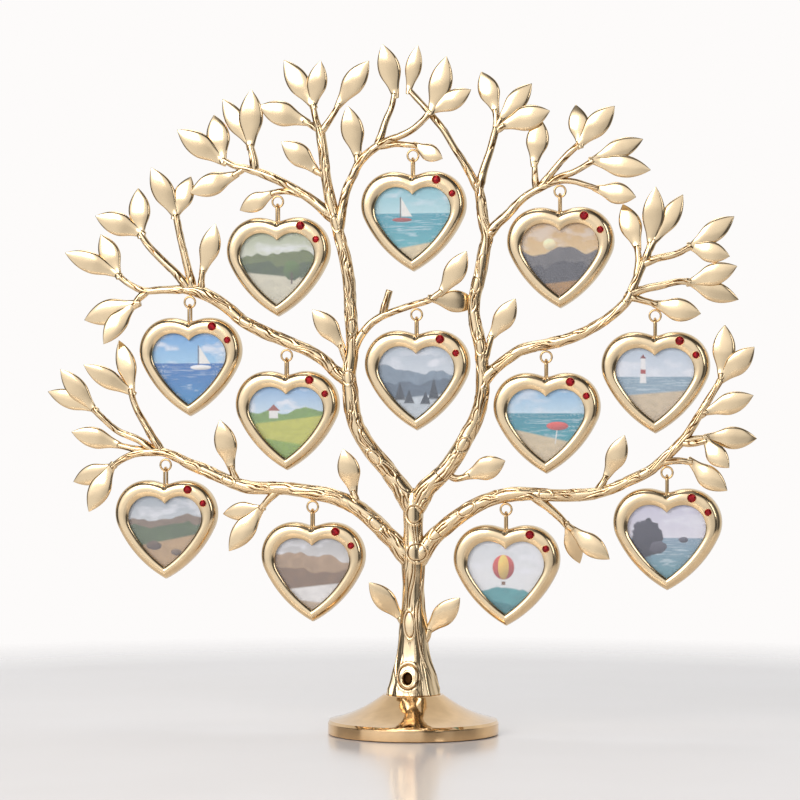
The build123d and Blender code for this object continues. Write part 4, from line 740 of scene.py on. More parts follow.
def leaf_surface(casting, row):
    """A plump pointed leaf. Along it the width follows the stations in cubic pieces. Round it each
    section is an oval, flattened on the blade, and it narrows to a round foot in its twig."""
    foot_x, foot_z, tip_x, tip_z, width, tip_depth, bow = scaled(row)
    foot = place(foot_x, foot_z, leaf_foot_depth(casting, foot_x, foot_z))
    tip = place(tip_x, tip_z, tip_depth * TREE_HEIGHT)
    ahead = unit(tip - foot)
    back = unit(np.array([0.0, 1.0, 0.0]) - ahead * ahead[1])
    side = np.cross(back, ahead)
    half_width = width * TREE_HEIGHT / 2
    foot = foot - ahead * half_width * LEAF_OVERLAP
    even = np.linspace(0, 1, LEAF_ROWS)
    share = LEAF_CROWDING * (0.5 - 0.5 * np.cos(math.pi * even)) + (1 - LEAF_CROWDING) * even
    wide = np.maximum(smooth_through(leaf_stations, leaf_widths, share), LEAF_LEAST_WIDTH)
    rise = np.maximum(LEAF_THICKNESS * wide, leaf_widths[0] * (1 - share) ** 2)
    middle = foot + (tip - foot) * share[:, None]
    middle = middle + side * (bow * TREE_HEIGHT * 4 * share * (1 - share))[:, None]
    middle = middle + back * (LEAF_CUP * half_width * np.sin(math.pi * share))[:, None]
    turn = full_turn(LEAF_AROUND)
    blade = np.clip(share / BLADE_START, 0, 1)[:, None]
    flat = signed_power(np.sin(turn), 1 - BLADE_FLATNESS * blade)
    across = signed_power(np.cos(turn), 1 - BLADE_RIM * blade)
    plump = FOOT_PLUMPNESS - BLADE_THINNING * blade
    return capped(middle[:, None] + side * (half_width * wide[:, None] * across)[..., None]
                  + back * (half_width * rise[:, None] * flat * plump)[..., None])


def wire_loop(path, radius, around=16):
    """A closed wire: a circle carried round a closed flat path, square to it."""
    ahead = unit(np.roll(path, -1, 0) - np.roll(path, 1, 0))
    third = len(path) // 3
    flat = unit(np.cross(path[third] - path[0], path[2 * len(path) // 3] - path[0]))
    across = np.cross(flat, ahead)
    turn = full_turn(around)
    ring = across[:, None] * np.cos(turn)[None, :, None] - flat * np.sin(turn)[None, :, None]
    return looped(path[:, None] + radius * ring)


def circle_path(centre, radius, count=48):
    """A circle that faces the front."""
    turn = full_turn(count)
    return np.asarray(centre) + radius * np.stack([np.cos(turn), 0 * turn, np.sin(turn)], -1)


def link_path():
    """The oblong link's path: two half circles joined by straight strands, seen from the side."""
    upper, lower = LINK_TOP - LINK_HALF_WIDTH, LINK_TOP - LINK_REACH + LINK_HALF_WIDTH
    turn = np.linspace(0, math.pi, 24)
    bows = [np.stack([0 * turn, way * np.cos(turn) * LINK_HALF_WIDTH,
                      middle + way * np.sin(turn) * LINK_HALF_WIDTH], -1)
            for way, middle in ((1, upper), (-1, lower))]
    return np.concatenate(bows)


def heart_points(share, part):
    """Heart outlines. share goes from the outer edge (0) to the window's edge (1), part runs once
    round from the notch over the right lobe to the tip and back up the left side. A lobe is an arc,
    and a side is the arc that leaves it without a bend and ends in the tip. In the notch the arc's
    height is taken at the root of x squared and the rounding squared."""
    share = np.asarray(share, float)[:, None]
    part = np.asarray(part, float)[None, :]
    lobe_x = LOBE_X + (WINDOW_LOBE_X - LOBE_X) * share
    radius = LOBE_RADIUS + (WINDOW_LOBE_RADIUS - LOBE_RADIUS) * share
    lobe_z = -WINDOW_DROP * share - radius
    tip_z = -HEART_HEIGHT + (HEART_HEIGHT - WINDOW_DROP - WINDOW_HEIGHT) * share
    angle = np.radians(SHOULDER + (WINDOW_SHOULDER - SHOULDER) * share)
    half = np.where(part <= 0.5, part * 2, 2 - part * 2)
    start = math.pi - np.arccos(lobe_x / radius)
    on_lobe = start + (-angle - start) * np.clip(half / LOBE_PART, 0, 1)
    x = lobe_x + radius * np.cos(on_lobe)
    z = lobe_z + radius * np.sin(on_lobe)
    # Between the lobes the notch is rounded, most at the outer edge and not at all at the window
    wide = np.sqrt(x**2 + (NOTCH_ROUND * np.sqrt(np.clip(1 - share, 0, 1))) ** 2)
    z = np.where(x < lobe_x, lobe_z + np.sqrt(np.maximum(radius**2 - (wide - lobe_x) ** 2, 0)), z)
    shoulder_x, shoulder_z = lobe_x + radius * np.cos(angle), lobe_z - radius * np.sin(angle)
    inward_x, inward_z = -np.cos(angle), np.sin(angle)
    run_x, run_z = -shoulder_x, tip_z - shoulder_z
    side_radius = (run_x**2 + run_z**2) / (2 * (run_x * inward_x + run_z * inward_z))
    middle_x, middle_z = shoulder_x + inward_x * side_radius, shoulder_z + inward_z * side_radius
    first = np.arctan2(shoulder_z - middle_z, shoulder_x - middle_x)
    last = np.arctan2(tip_z - middle_z, -middle_x)
    on_side = first + (last - first) * np.clip((half - LOBE_PART) / (1 - LOBE_PART), 0, 1)
    x = np.where(half <= LOBE_PART, x, middle_x + side_radius * np.cos(on_side))
    z = np.where(half <= LOBE_PART, z, middle_z + side_radius * np.sin(on_side))
    return np.where(part <= 0.5, x, -x), z


def bezel_surface():
    """A heart frame's wall: a closed profile carried round the heart. From the cavity it goes out
    over the flat back, up the rolled outer edge, over the round crest and down to the window."""
    quarter = np.linspace(0, math.pi / 2, EDGE_STEPS)
    rise = (1 - np.cos(np.linspace(0, math.pi / 2, DOME_STEPS)))[1:]
    dome = (1 - (1 - rise) ** DOME_POWER) ** (1 / DOME_POWER)
    fall = np.linspace(0, 1, FALL_STEPS)[1:]
    across, up = CAVITY_BEVEL
    profile = [(CAVITY_SHARE, CAVITY_STEP), (CAVITY_SHARE, up), (CAVITY_SHARE - across, 0.0)]
    profile += zip(EDGE_SHARE * (1 - np.sin(quarter)), ROUNDING * (1 - np.cos(quarter)))
    profile += [(0.0, WALL_HEIGHT)]
    profile += zip(CREST_SHARE * rise, WALL_HEIGHT + (CREST_HEIGHT - WALL_HEIGHT) * dome)
    profile += zip(CREST_SHARE + (INNER_SHARE - CREST_SHARE) * fall,
                   CREST_HEIGHT - (CREST_HEIGHT - LIP_HEIGHT) * fall**FALL_POWER)
    profile += [(LIP_START, LIP_HEIGHT - LIP_DROPS[0]), (1.0, LIP_HEIGHT - LIP_DROPS[1]), (1.0, LENS_SEAT),
                (LENS_SHARE, LENS_SEAT), (POCKET_SHARE, LENS_SEAT), (POCKET_SHARE, POCKET_STEP)]
    shares, heights = np.array(profile).T
    x, z = heart_points(shares, np.linspace(0, 1, HEART_AROUND, endpoint=False))
    y = HEART_BACK - heights[:, None] + 0 * x
    # The wall stays clear of the eye's bore and of the link's lower bow
    for centre_z, radius, behind in ((-EYE_DROP, EYE_RADIUS - EYE_WIRE, -1.0),
                                     (-HEART_RISE, LINK_RELIEF, EYE_WIRE)):
        away = np.hypot(x, z - centre_z)
        press = (away < radius) & (y > behind)
        scale = np.where(press, radius / np.maximum(away, 1e-6), 1.0)
        x, z = x * scale, centre_z + (z - centre_z) * scale
    return looped(np.stack([x, y, z], -1))


def heart_plate(share, low, high, rings, columns):
    """A flat heart with a front and a back: outlines that shrink evenly towards the middle."""
    x, z = heart_points([share], np.linspace(0, 1, columns, endpoint=False))
    centre_z = -WINDOW_DROP - PLATE_MIDDLE * WINDOW_HEIGHT
    shrink = np.linspace(0, 1, rings)[1:, None]
    face_x, face_z = x * shrink, centre_z + (z - centre_z) * shrink
    front, back = (np.stack([face_x, HEART_BACK - height + 0 * face_x, face_z], -1) for height in (high, low))
    return capped(np.concatenate([front, back[::-1]]))


def stone_parts(radius, x, drop):
    """A cut stone: rings of points from its seat over the girdle to the table, the middle rings
    zigzag, so that its faces are kites and triangles. A thin rim of metal holds it."""
    radius = radius * STONE_SWELL
    turn = full_turn(STONE_SIDES)
    zigzag = np.where(np.arange(STONE_SIDES) % 2 == 0, 1.0, 0.0)
    rings = []
    for reach, height, wave in stone_rings:
        spread = radius * (reach + wave * zigzag)
        up = STONE_SEAT + (height + 0.5 * wave * zigzag) * MM
        rings.append(np.stack([x + spread * np.cos(turn), HEART_BACK - up + 0 * turn,
                               spread * np.sin(turn) - drop], -1))
    centre = (x, HEART_BACK - STONE_SEAT - STONE_RIM_HEIGHT, -drop)
    rim = wire_loop(circle_path(centre, radius + STONE_RIM_GAP, 32), STONE_RIM_WIRE, 10)
    return capped(np.stack(rings)), rim


def lathe(profile, around=160):
    """A profile of radius and height turned round the upright axis, closed at both ends."""
    profile = np.asarray(profile, float)
    turn = full_turn(around)
    return capped(np.stack([profile[:, :1] * np.cos(turn), profile[:, :1] * np.sin(turn),
                            profile[:, 1:] + 0 * turn], -1))


def arc_through(first, middle, last, count):
    """Points on the circle through three points."""
    (ax, ay), (bx, by), (cx, cy) = first, middle, last
    d = 2 * (ax * (by - cy) + bx * (cy - ay) + cx * (ay - by))
    ux = ((ax**2 + ay**2) * (by - cy) + (bx**2 + by**2) * (cy - ay) + (cx**2 + cy**2) * (ay - by)) / d
    uy = ((ax**2 + ay**2) * (cx - bx) + (bx**2 + by**2) * (ax - cx) + (cx**2 + cy**2) * (bx - ax)) / d
    radius = math.hypot(ax - ux, ay - uy)
    start, end = math.atan2(ay - uy, ax - ux), math.atan2(cy - uy, cx - ux)
    # The short way round
    end = start + math.remainder(end - start, 2 * math.pi)
    turn = np.linspace(start, end, count)
    return np.stack([ux + radius * np.cos(turn), uy + radius * np.sin(turn)], -1)


def value_noise(x, y, seed):
    """Smooth noise from 0 to 1: values at whole-number places, blended in between."""
    def lattice(i, j):
        dot = np.sin(i * 127.1 + j * 311.7 + seed * 74.7) * 43758.5453
        return dot - np.floor(dot)
    i, j = np.floor(x), np.floor(y)
    u, v = x - i, y - j
    u, v = u * u * (3 - 2 * u), v * v * (3 - 2 * v)
    low = lattice(i, j) * (1 - u) + lattice(i + 1, j) * u
    high = lattice(i, j + 1) * (1 - u) + lattice(i + 1, j + 1) * u
    return low * (1 - v) + high * v


def cloudy(x, y, seed):
    """Three octaves of the noise added up, each half as strong and twice as fine."""
    total = value_noise(x, y, seed) + 0.5 * value_noise(2 * x, 2 * y, seed + 3)
    return (total + 0.25 * value_noise(4 * x, 4 * y, seed + 7)) / 1.75


class Picture:
    """A small landscape painted on points. x and y run from -1 to 1 across the print."""

    def __init__(self, x, y, seed):
        self.x, self.y, self.seed = x, y, seed
        self.colour = np.zeros((len(x), 3))

    def lay(self, mask, hex_colour, shade=None):
        """Covers what the mask (0 to 1) marks with a colour, lighter or darker by the shade."""
        tone = np.array(srgb(hex_colour))[None, :]
        if shade is not None:
            tone = tone * shade[:, None]
        mask = np.clip(mask, 0, 1)[:, None]
        self.colour = self.colour * (1 - mask) + tone * mask

    def above(self, level, soft=0.03):
        """1 over the level and 0 under it. The level may be one height or one for each point."""
        return np.clip((self.y - level) / soft + 0.5, 0, 1)

    def sky(self, top, low, clouds=0.0, horizon=-0.1):
        """A sky that pales towards the horizon, with drifting clouds."""
        part = np.clip((self.y - horizon) / (1.1 - horizon), 0, 1)
        self.lay(np.ones_like(self.x), low)
        self.lay(part, top)
        drift = cloudy(self.x * 2.2 + 5, self.y * 5.0, self.seed)
        self.lay(clouds * np.clip((drift - 0.52) * 5, 0, 1) * self.above(horizon), "#F7F8FA")

    def sea(self, horizon, far, near, low=-1.5):
        """Water from the horizon down, with light wave lines that widen towards the front."""
        span = np.clip((horizon - self.y) / (horizon - low), 0, 1)
        region = 1 - self.above(horizon, 0.02)
        self.lay(region, far)
        self.lay(region * span, near)
        waves = cloudy(self.x * 3, 6 / (span + 0.12), self.seed + 11)
        self.lay(region * np.clip((waves - 0.58) * 4, 0, 0.55), "#DCEBEE")

    def ridge(self, base, height, scale, hex_colour, shift=0.0):
        """Hills whose skyline follows the noise."""
        line = base + height * (cloudy(self.x * scale + shift, 0 * self.x + 3.1, self.seed) - 0.35)
        grain = 0.82 + 0.36 * cloudy(self.x * 9, self.y * 9, self.seed + 2)
        self.lay(1 - self.above(line, 0.035), hex_colour, grain)

    def ground(self, level, hex_colour, slope=0.0, grain=7.0):
        """Sand or grass below a level that may slope."""
        tone = 0.86 + 0.28 * cloudy(self.x * grain, self.y * grain * 1.8, self.seed + 5)
        self.lay(1 - self.above(level + slope * self.x, 0.04), hex_colour, tone)

    def blob(self, x, y, wide, high, hex_colour, rough=0.0, soft=0.10):
        """A rounded shape, such as a rock, bush, sun or crown of a tree."""
        reach = np.hypot((self.x - x) / wide, (self.y - y) / high)
        reach = reach + rough * (cloudy(self.x * 7, self.y * 7, self.seed + 9) - 0.5)
        shade = np.clip(1.05 + 0.45 * ((self.y - y) / high) - 0.15 * (self.x - x) / wide, 0.35, 1.5)
        self.lay((1 - reach) / soft + 0.5, hex_colour, shade)

    def block(self, x, y, wide, high, hex_colour, lean=0.0, taper=0.0):
        """An upright shape, such as a mast, wall, tower or trunk, that may lean or narrow upwards."""
        up = (self.y - y) / high
        half = wide * (1 - taper * np.clip(up, 0, 1))
        inside = np.minimum(half - np.abs(self.x - x - lean * up), np.minimum(up, 1 - up) * high) / 0.02
        self.lay(inside + 0.5, hex_colour)

    def sail(self, x, y, wide, high, hex_colour):
        """A three-cornered sail with its upright edge at x."""
        up = (self.y - y) / high
        across = (self.x - x) / wide
        self.lay(np.minimum(np.minimum(across, 1 - up - across), up) / 0.05 + 0.5, hex_colour)

    def gable(self, x, y, wide, high, hex_colour):
        """A three-cornered roof or a pointed tree."""
        up = (self.y - y) / high
        self.lay(np.minimum((1 - up) - np.abs(self.x - x) / wide, up) / 0.08 + 0.5, hex_colour)


# The pictures in the hearts: generic landscapes of sea, shore, hills and fields, painted in these steps
pictures = {
    1: (("sky", "#4FB3C4", "#BFE4E6", 0.5, 0.15), ("sea", 0.15, "#2F9FB0", "#7FD0CE"),
        ("ground", -0.62, "#E5D2A6", 0.18), ("block", -0.30, 0.02, 0.012, 0.52, "#6B4A33"),
        ("sail", -0.28, 0.08, 0.26, 0.44, "#F4F1E6"), ("blob", -0.26, 0.00, 0.24, 0.05, "#A8443A")),
    2: (("sky", "#8C9A5A", "#E9EBD8", 0.6, 0.05), ("ridge", 0.25, 0.5, 2.0, "#6E7B3F"),
        ("ridge", 0.02, 0.4, 3.0, "#4F6133", 2.0), ("ground", -0.25, "#D9D3B8", -0.10),
        ("blob", 0.35, -0.12, 0.20, 0.24, "#56702F", 0.5), ("block", 0.35, -0.45, 0.02, 0.28, "#5B4630")),
    3: (("sky", "#C99A4E", "#EBCB92", 0.35, 0.0), ("blob", -0.25, 0.28, 0.15, 0.13, "#F8E6B4", 0.0, 0.2),
        ("ridge", 0.05, 0.6, 1.6, "#6E6A66", 1.0), ("ridge", -0.30, 0.5, 2.8, "#4E4B4A", 4.0),
        ("ground", -0.62, "#B4863F", 0.1)),
    4: (("sky", "#2F8FD8", "#A5D4F0", 0.75, 0.05), ("sea", 0.05, "#1C6FB8", "#3DA3D6"),
        ("block", 0.22, -0.02, 0.012, 0.50, "#5A4230"), ("sail", 0.24, 0.04, 0.28, 0.42, "#F7F4EA"),
        ("blob", 0.28, -0.05, 0.26, 0.06, "#F3F0E8")),
    5: (("sky", "#4C9AD6", "#D6EAF3", 0.8, 0.1), ("ridge", 0.18, 0.3, 2.2, "#7FA34A", 2.0),
        ("ground", -0.02, "#C7C84A", 0.12, 11.0), ("ground", -0.55, "#8FAE3C", -0.15, 13.0),
        ("block", -0.32, 0.02, 0.11, 0.20, "#F5F3EC"), ("gable", -0.32, 0.20, 0.16, 0.15, "#A5563F")),
    6: (("sky", "#A9B9C4", "#DDE4E8", 0.7, 0.0), ("ridge", 0.12, 0.5, 2.4, "#8295A3", 1.0),
        ("ridge", -0.12, 0.4, 3.0, "#5E7180", 3.0), ("ground", -0.42, "#C9D2D6", 0.1),
        ("gable", -0.40, -0.50, 0.13, 0.42, "#2E3B40"), ("gable", -0.18, -0.58, 0.13, 0.32, "#2E3B40"),
        ("gable", 0.42, -0.48, 0.13, 0.50, "#2E3B40"), ("gable", 0.22, -0.60, 0.13, 0.30, "#2E3B40")),
    7: (("sky", "#5AA9DC", "#CBE6F2", 0.5, 0.2), ("sea", 0.20, "#2E93A6", "#5BC0BC"),
        ("ground", -0.35, "#DCC9A2", -0.22), ("block", 0.22, -0.52, 0.012, 0.42, "#F3F0E8", 0.05),
        ("blob", 0.27, -0.10, 0.26, 0.10, "#D8584A")),
    8: (("sky", "#AFC3D3", "#E4EBF0", 0.6, 0.1), ("sea", 0.10, "#8DA9B8", "#B9CBD2"),
        ("ground", -0.28, "#D8C4A0", 0.08), ("block", -0.28, -0.05, 0.075, 0.58, "#F6F4EF", 0.0, 0.35),
        ("block", -0.28, 0.17, 0.060, 0.10, "#B5483C"), ("gable", -0.28, 0.53, 0.07, 0.10, "#8B3B33")),
    9: (("sky", "#8A9BA8", "#D8DCDC", 0.6, 0.1), ("ridge", 0.25, 0.5, 1.8, "#8D7A63", 2.0),
        ("ridge", 0.02, 0.35, 2.6, "#5F7048", 5.0), ("ground", -0.30, "#C4A478", 0.2),
        ("blob", -0.30, -0.42, 0.20, 0.11, "#6B5B49", 0.5),
        ("blob", 0.28, -0.58, 0.13, 0.08, "#7C6A55", 0.5)),
    10: (("sky", "#A7ABAE", "#E6E2DB", 0.7, 0.1), ("ridge", 0.22, 0.7, 1.7, "#B79A78", 0.5),
        ("ridge", -0.05, 0.4, 2.6, "#8F7355", 6.0), ("ground", -0.38, "#F1EEE8", 0.12),
        ("ground", -0.75, "#C9B394", -0.10)),
    11: (("sky", "#D8DEE0", "#F2F3F1", 0.7, 0.0), ("blob", -0.06, 0.16, 0.26, 0.29, "#C8574B", 0.0, 0.06),
        ("blob", -0.06, 0.16, 0.13, 0.29, "#EBC566", 0.0, 0.08),
        ("block", -0.06, -0.26, 0.045, 0.08, "#8A6238"), ("ridge", -0.42, 0.35, 2.4, "#5AA6A8", 1.5),
        ("ground", -0.70, "#3F8C90", -0.2)),
    12: (("sky", "#C9C6DC", "#ECE9EF", 0.5, 0.0), ("sea", 0.00, "#8FA7B8", "#3E9C9E"),
        ("blob", -0.46, 0.00, 0.34, 0.44, "#3F3D45", 0.7),
        ("blob", -0.20, -0.22, 0.20, 0.14, "#54525A", 0.7),
        ("blob", 0.38, -0.04, 0.13, 0.07, "#5B5A63", 0.6)),
}


def paint(number, x, y):
    """The picture in a heart, in the colours of its points, with a fine grain in its tones."""
    picture = Picture(x, y, number)
    for step, *values in pictures[number]:
        getattr(picture, step)(*values)
    warm = 0.97 + 0.06 * value_noise(x * 23, y * 23, 50 + number)
    return np.clip(picture.colour * warm[:, None], 0, 1)


def print_part(number):
    """A heart's print: its outline shrunk in even steps towards the middle, painted on the front."""
    low = LENS_SEAT - LENS_THICKNESS - 2 * INSERT_CLEARANCE - PRINT_THICKNESS
    sheet = heart_plate(LENS_SHARE, low, low + PRINT_THICKNESS, PRINT_RINGS, PRINT_AROUND)
    surface = sheet[0]
    half = (WINDOW_HEIGHT + PICTURE_MARGIN) / 2
    x = surface[:, 0] / half
    y = (surface[:, 2] + WINDOW_DROP + WINDOW_HEIGHT * PICTURE_MIDDLE) / half
    colour = paint(number, x, y)
    back = surface[:, 1] > HEART_BACK - low - PRINT_THICKNESS / 2
    colour[back] = srgb("#F2F0EA")
    return sheet, np.concatenate([colour, np.ones((len(colour), 1))], 1)


def add(tree, kind, settings=None, **links):
    """Adds a node. Settings are its properties, or values of its inputs where the name is an input's.
    Links join an input to another node's output. An input's name has underlines for its spaces, and
    an input without a name of its own is an underline and its number."""
    node = tree.nodes.new(kind)
    for name, value in (settings or {}).items():
        if name in node.inputs:
            node.inputs[name].default_value = value
        else:
            setattr(node, name, value)
    for name, (source, output) in links.items():
        socket = int(name[1:]) if name[0] == "_" else name.replace("_", " ")
        tree.links.new(source.outputs[output], node.inputs[socket])
    return node


def ramp(tree, source, output, stops):
    """A colour ramp between stops of place and grey level or hex colour."""
    node = add(tree, "ShaderNodeValToRGB", Fac=(source, output))
    elements = node.color_ramp.elements
    while len(elements) < len(stops):
        elements.new(0.5)
    for element, (place_on_ramp, tone) in zip(elements, stops):
        element.position = place_on_ramp
        element.color = (*srgb(tone), 1) if isinstance(tone, str) else (tone, tone, tone, 1)
    return node


def new_finish(name):
    """An empty material: the material, its node tree and its coordinates."""
    finish = bpy.data.materials.new(name)
    finish.use_nodes = True
    finish.node_tree.nodes.clear()
    return finish, finish.node_tree, add(finish.node_tree, "ShaderNodeTexCoord")


def noise(tree, spot, size, detail, **settings):
    """Noise whose clouds are about this size, in metres."""
    return add(tree, "ShaderNodeTexNoise", {"Scale": 1 / size, "Detail": detail, **settings},
               Vector=(spot, "Object"))


def relief(tree, source, output, strength, distance):
    """A bump of this depth in metres, as the link of a shader's normal."""
    bump = add(tree, "ShaderNodeBump", {"Strength": strength, "Distance": distance}, Height=(source, output))
    return bump, "Normal"


def close_with(tree, settings, **links):
    """Adds the shader and joins it to the material's output."""
    shader = add(tree, "ShaderNodeBsdfPrincipled", settings, **links)
    add(tree, "ShaderNodeOutputMaterial", Surface=(shader, "BSDF"))


def darker(hex_colour, share):
    """The hex colour with each channel scaled."""
    return "#" + "".join(f"{round(int(hex_colour[i:i + 2], 16) * share):02X}" for i in (1, 3, 5))


def plated_zinc(name, plating, roughness, grooves=False):
    """Cast zinc alloy, polished and plated with pale gold: a warm mirror that waves a little where
    the polishing wheel ran. In carved grooves the wheel doesn't reach, so they stay brown and dull. In the
    trunk's hollow the same attribute paints shade, down to the darkest brown."""
    finish, tree, spot = new_finish(name)
    # The wheel's waves are 6 mm apart, the plating's orange-peel skin 0.9 mm and a tenth as high
    waves = noise(tree, spot, 0.006, 1.0)
    skin = noise(tree, spot, 0.0009, 2.0)
    height = add(tree, "ShaderNodeMath", {"operation": "MULTIPLY_ADD"}, _0=(skin, "Fac"), _2=(waves, "Fac"))
    height.inputs[1].default_value = 0.10
    if grooves:
        # The attribute carries the grooves' patina and, in the trunk's hollow, painted shade
        carved = add(tree, "ShaderNodeAttribute", {"attribute_name": "groove_patina_and_hollow_shade"})
        tone = ramp(tree, carved, "Fac",
                    ((0.0, plating), (0.22, plating), (0.62, "#8A5F2E"), (1.0, "#3E2712")))
        dull = ramp(tree, carved, "Fac", ((0.0, roughness), (0.30, roughness), (1.0, 0.55)))
    else:
        tone = ramp(tree, waves, "Fac", ((0.30, plating), (0.70, darker(plating, 0.96))))
        dull = ramp(tree, waves, "Fac", ((0.35, roughness), (0.65, roughness + 0.03)))
    close_with(tree, {"Metallic": 1.0}, Base_Color=(tone, "Color"), Roughness=(dull, "Color"),
               Normal=relief(tree, height, 0, 0.25, 0.00022))
    return finish


def red_glass():
    """Cut glass with a foil back: clear deep red that throws light back from its facets."""
    finish, tree, spot = new_finish("red_glass")
    tone = ramp(tree, noise(tree, spot, 0.0012, 1.0), "Fac", ((0.3, "#6E050C"), (0.7, "#B80B18")))
    close_with(tree, {"Roughness": 0.10, "IOR": 1.5, "Metallic": 0.5}, Base_Color=(tone, "Color"))
    return finish


def printed_paper():
    """Photo paper: the picture's own colours under a smooth half-matt coat, with a fine paper tooth."""
    finish, tree, spot = new_finish("printed_paper")
    picture = add(tree, "ShaderNodeAttribute", {"attribute_name": "picture"})
    # Paper tooth is about 0.1 mm. It is drawn at 0.4 mm, so that it shows at all
    tooth = noise(tree, spot, 0.0004, 2.0)
    close_with(tree, {"Roughness": 0.42, "IOR": 1.5}, Base_Color=(picture, "Color"),
               Normal=relief(tree, tooth, "Fac", 0.1, 0.00002))
    return finish


def clear_acrylic():
    """A thin acrylic pane: all but invisible, with a faint gloss on its face."""
    finish, tree, spot = new_finish("clear_acrylic")
    dull = ramp(tree, noise(tree, spot, 0.009, 2.0), "Fac", ((0.3, 0.03), (0.7, 0.09)))
    close_with(tree, {"Base Color": (*srgb("#C9CEDA"), 1), "IOR": 1.49, "Alpha": 0.10},
               Roughness=(dull, "Color"))
    return finish


def moulded_plastic():
    """Black injection-moulded plastic: dark grey with the fine grain of a spark-eroded mould."""
    finish, tree, spot = new_finish("moulded_plastic")
    grain = noise(tree, spot, 0.0005, 3.0)
    tone = ramp(tree, grain, "Fac", ((0.3, "#17171A"), (0.7, "#222226")))
    close_with(tree, {"Roughness": 0.5, "IOR": 1.5}, Base_Color=(tone, "Color"),
               Normal=relief(tree, grain, "Fac", 0.4, 0.00005))
    return finish


def pressed_felt():
    """Pressed wool felt: black fibres that lie every way, with a soft light edge."""
    finish, tree, spot = new_finish("pressed_felt")
    fibres = noise(tree, spot, 0.0006, 4.0, Distortion=2.0)
    tone = ramp(tree, fibres, "Fac", ((0.3, "#0E0E10"), (0.7, "#2B2B2E")))
    close_with(tree, {"Roughness": 0.95, "Sheen Weight": 0.4}, Base_Color=(tone, "Color"),
               Normal=relief(tree, fibres, "Fac", 0.8, 0.0002))
    return finish


def turned_steel():
    """Zinc-plated screw steel: grey, with the fine rings of the lathe."""
    finish, tree, spot = new_finish("turned_steel")
    rings = add(tree, "ShaderNodeTexWave", {
        "Scale": 200.0, "wave_type": "RINGS", "rings_direction": "Z", "Distortion": 0.3},
        Vector=(spot, "Object"))
    tone = ramp(tree, rings, "Fac", ((0.0, "#9C9FA3"), (1.0, "#B9BCC0")))
    close_with(tree, {"Metallic": 1.0, "Roughness": 0.35}, Base_Color=(tone, "Color"),
               Normal=relief(tree, rings, "Fac", 0.3, 0.00003))
    return finish


def pale_tabletop():
    """Pale polished stone: near white, with a soft reflection of what stands on it. Towards the rim
    of the tabletop it fades out into the backdrop."""
    finish, tree, spot = new_finish("pale_tabletop")
    tone = ramp(tree, noise(tree, spot, 0.15, 2.0), "Fac", ((0.3, "#F2ECE8"), (0.7, "#F7F2EF")))
    away = add(tree, "ShaderNodeVectorMath", {"operation": "LENGTH"}, _0=(spot, "Object"))
    fade = ramp(tree, away, "Value", ((TABLE_RADIUS * 0.68, 1.0), (TABLE_RADIUS, 0.0)))
    close_with(tree, {"Roughness": 0.16, "IOR": 1.5}, Base_Color=(tone, "Color"), Alpha=(fade, "Color"))
    return finish


finishes = {}


def finish_for(kind):
    """Each finish is made once, from the colours in the panel."""
    looks = bpy.context.scene.tree_looks
    makers = {
        "gold": lambda: plated_zinc("plated_zinc", as_hex(looks.plating), 0.13),
        "bark": lambda: plated_zinc("plated_bark", as_hex(looks.plating), 0.17, True),
        "foot": lambda: plated_zinc("plated_foot", as_hex(looks.foot_plating), 0.06),
        "wire": lambda: plated_zinc("plated_wire", as_hex(looks.wire_plating), 0.16),
        "stone": red_glass,
        "print": printed_paper,
        "pane": clear_acrylic,
        "plastic": moulded_plastic,
        "felt": pressed_felt,
        "steel": turned_steel,
        "table": pale_tabletop,
    }
    if kind not in finishes:
        finishes[kind] = makers[kind]()
    return finishes[kind]


def as_hex(colour):
    """A colour from the panel as sRGB hex."""
    linear = np.array(colour[:3])
    value = np.where(linear <= 0.0031308, linear * 12.92, 1.055 * linear ** (1 / 2.4) - 0.055)
    return "#" + "".join(f"{round(float(part) * 255):02X}" for part in value)


def keep_node(node, kind):
    """A CAD node that keeps its shape gets its finish."""
    for slot in frame["nodes"][node].material_slots:
        slot.material = finish_for(kind)


def heart_top(number):
    """Where a heart's lobe tops are: above the lower bow of its link."""
    return joint_places[f"heart_tilt_{number:02d}"] + np.array((0, 0, HEART_RISE))


def ring_bottom(number):
    """The middle of the lowest wire of a ring, which the link swings on."""
    return joint_places[f"link_swing_{number:02d}"]


def metres(name, description, default):
    """A length in the panel."""
    return bpy.props.FloatProperty(name=name, description=description, default=default, unit="LENGTH",
                                   precision=5)


def plating_colour(name, description, hex_colour):
    """A colour in the panel."""
    return bpy.props.FloatVectorProperty(name=name, description=description, subtype="COLOR", size=3,
                                         min=0, max=1, default=srgb(hex_colour))


class TreeSizes(bpy.types.PropertyGroup):
    """Sizes of the carving, which the castings don't have."""
    groove_depth: metres("Groove depth", "Depth of the carved lines in the bark", 0.42 * MM)
    groove_spacing: bpy.props.FloatProperty(
        name="Groove spacing", description="Distance between the carved lines, in millimetres",
        default=3.8, min=1.0)


class TreeLooks(bpy.types.PropertyGroup):
    """Colours of the plating."""
    plating: plating_colour("Plating", "Pale gold of the limbs, leaves and hearts", "#E8CDA2")
    wire_plating: plating_colour("Wire plating", "Gold of the rings, links and eyes", "#DFBC88")
    foot_plating: plating_colour("Foot plating", "Rosier gold of the foot", "#E4C090")


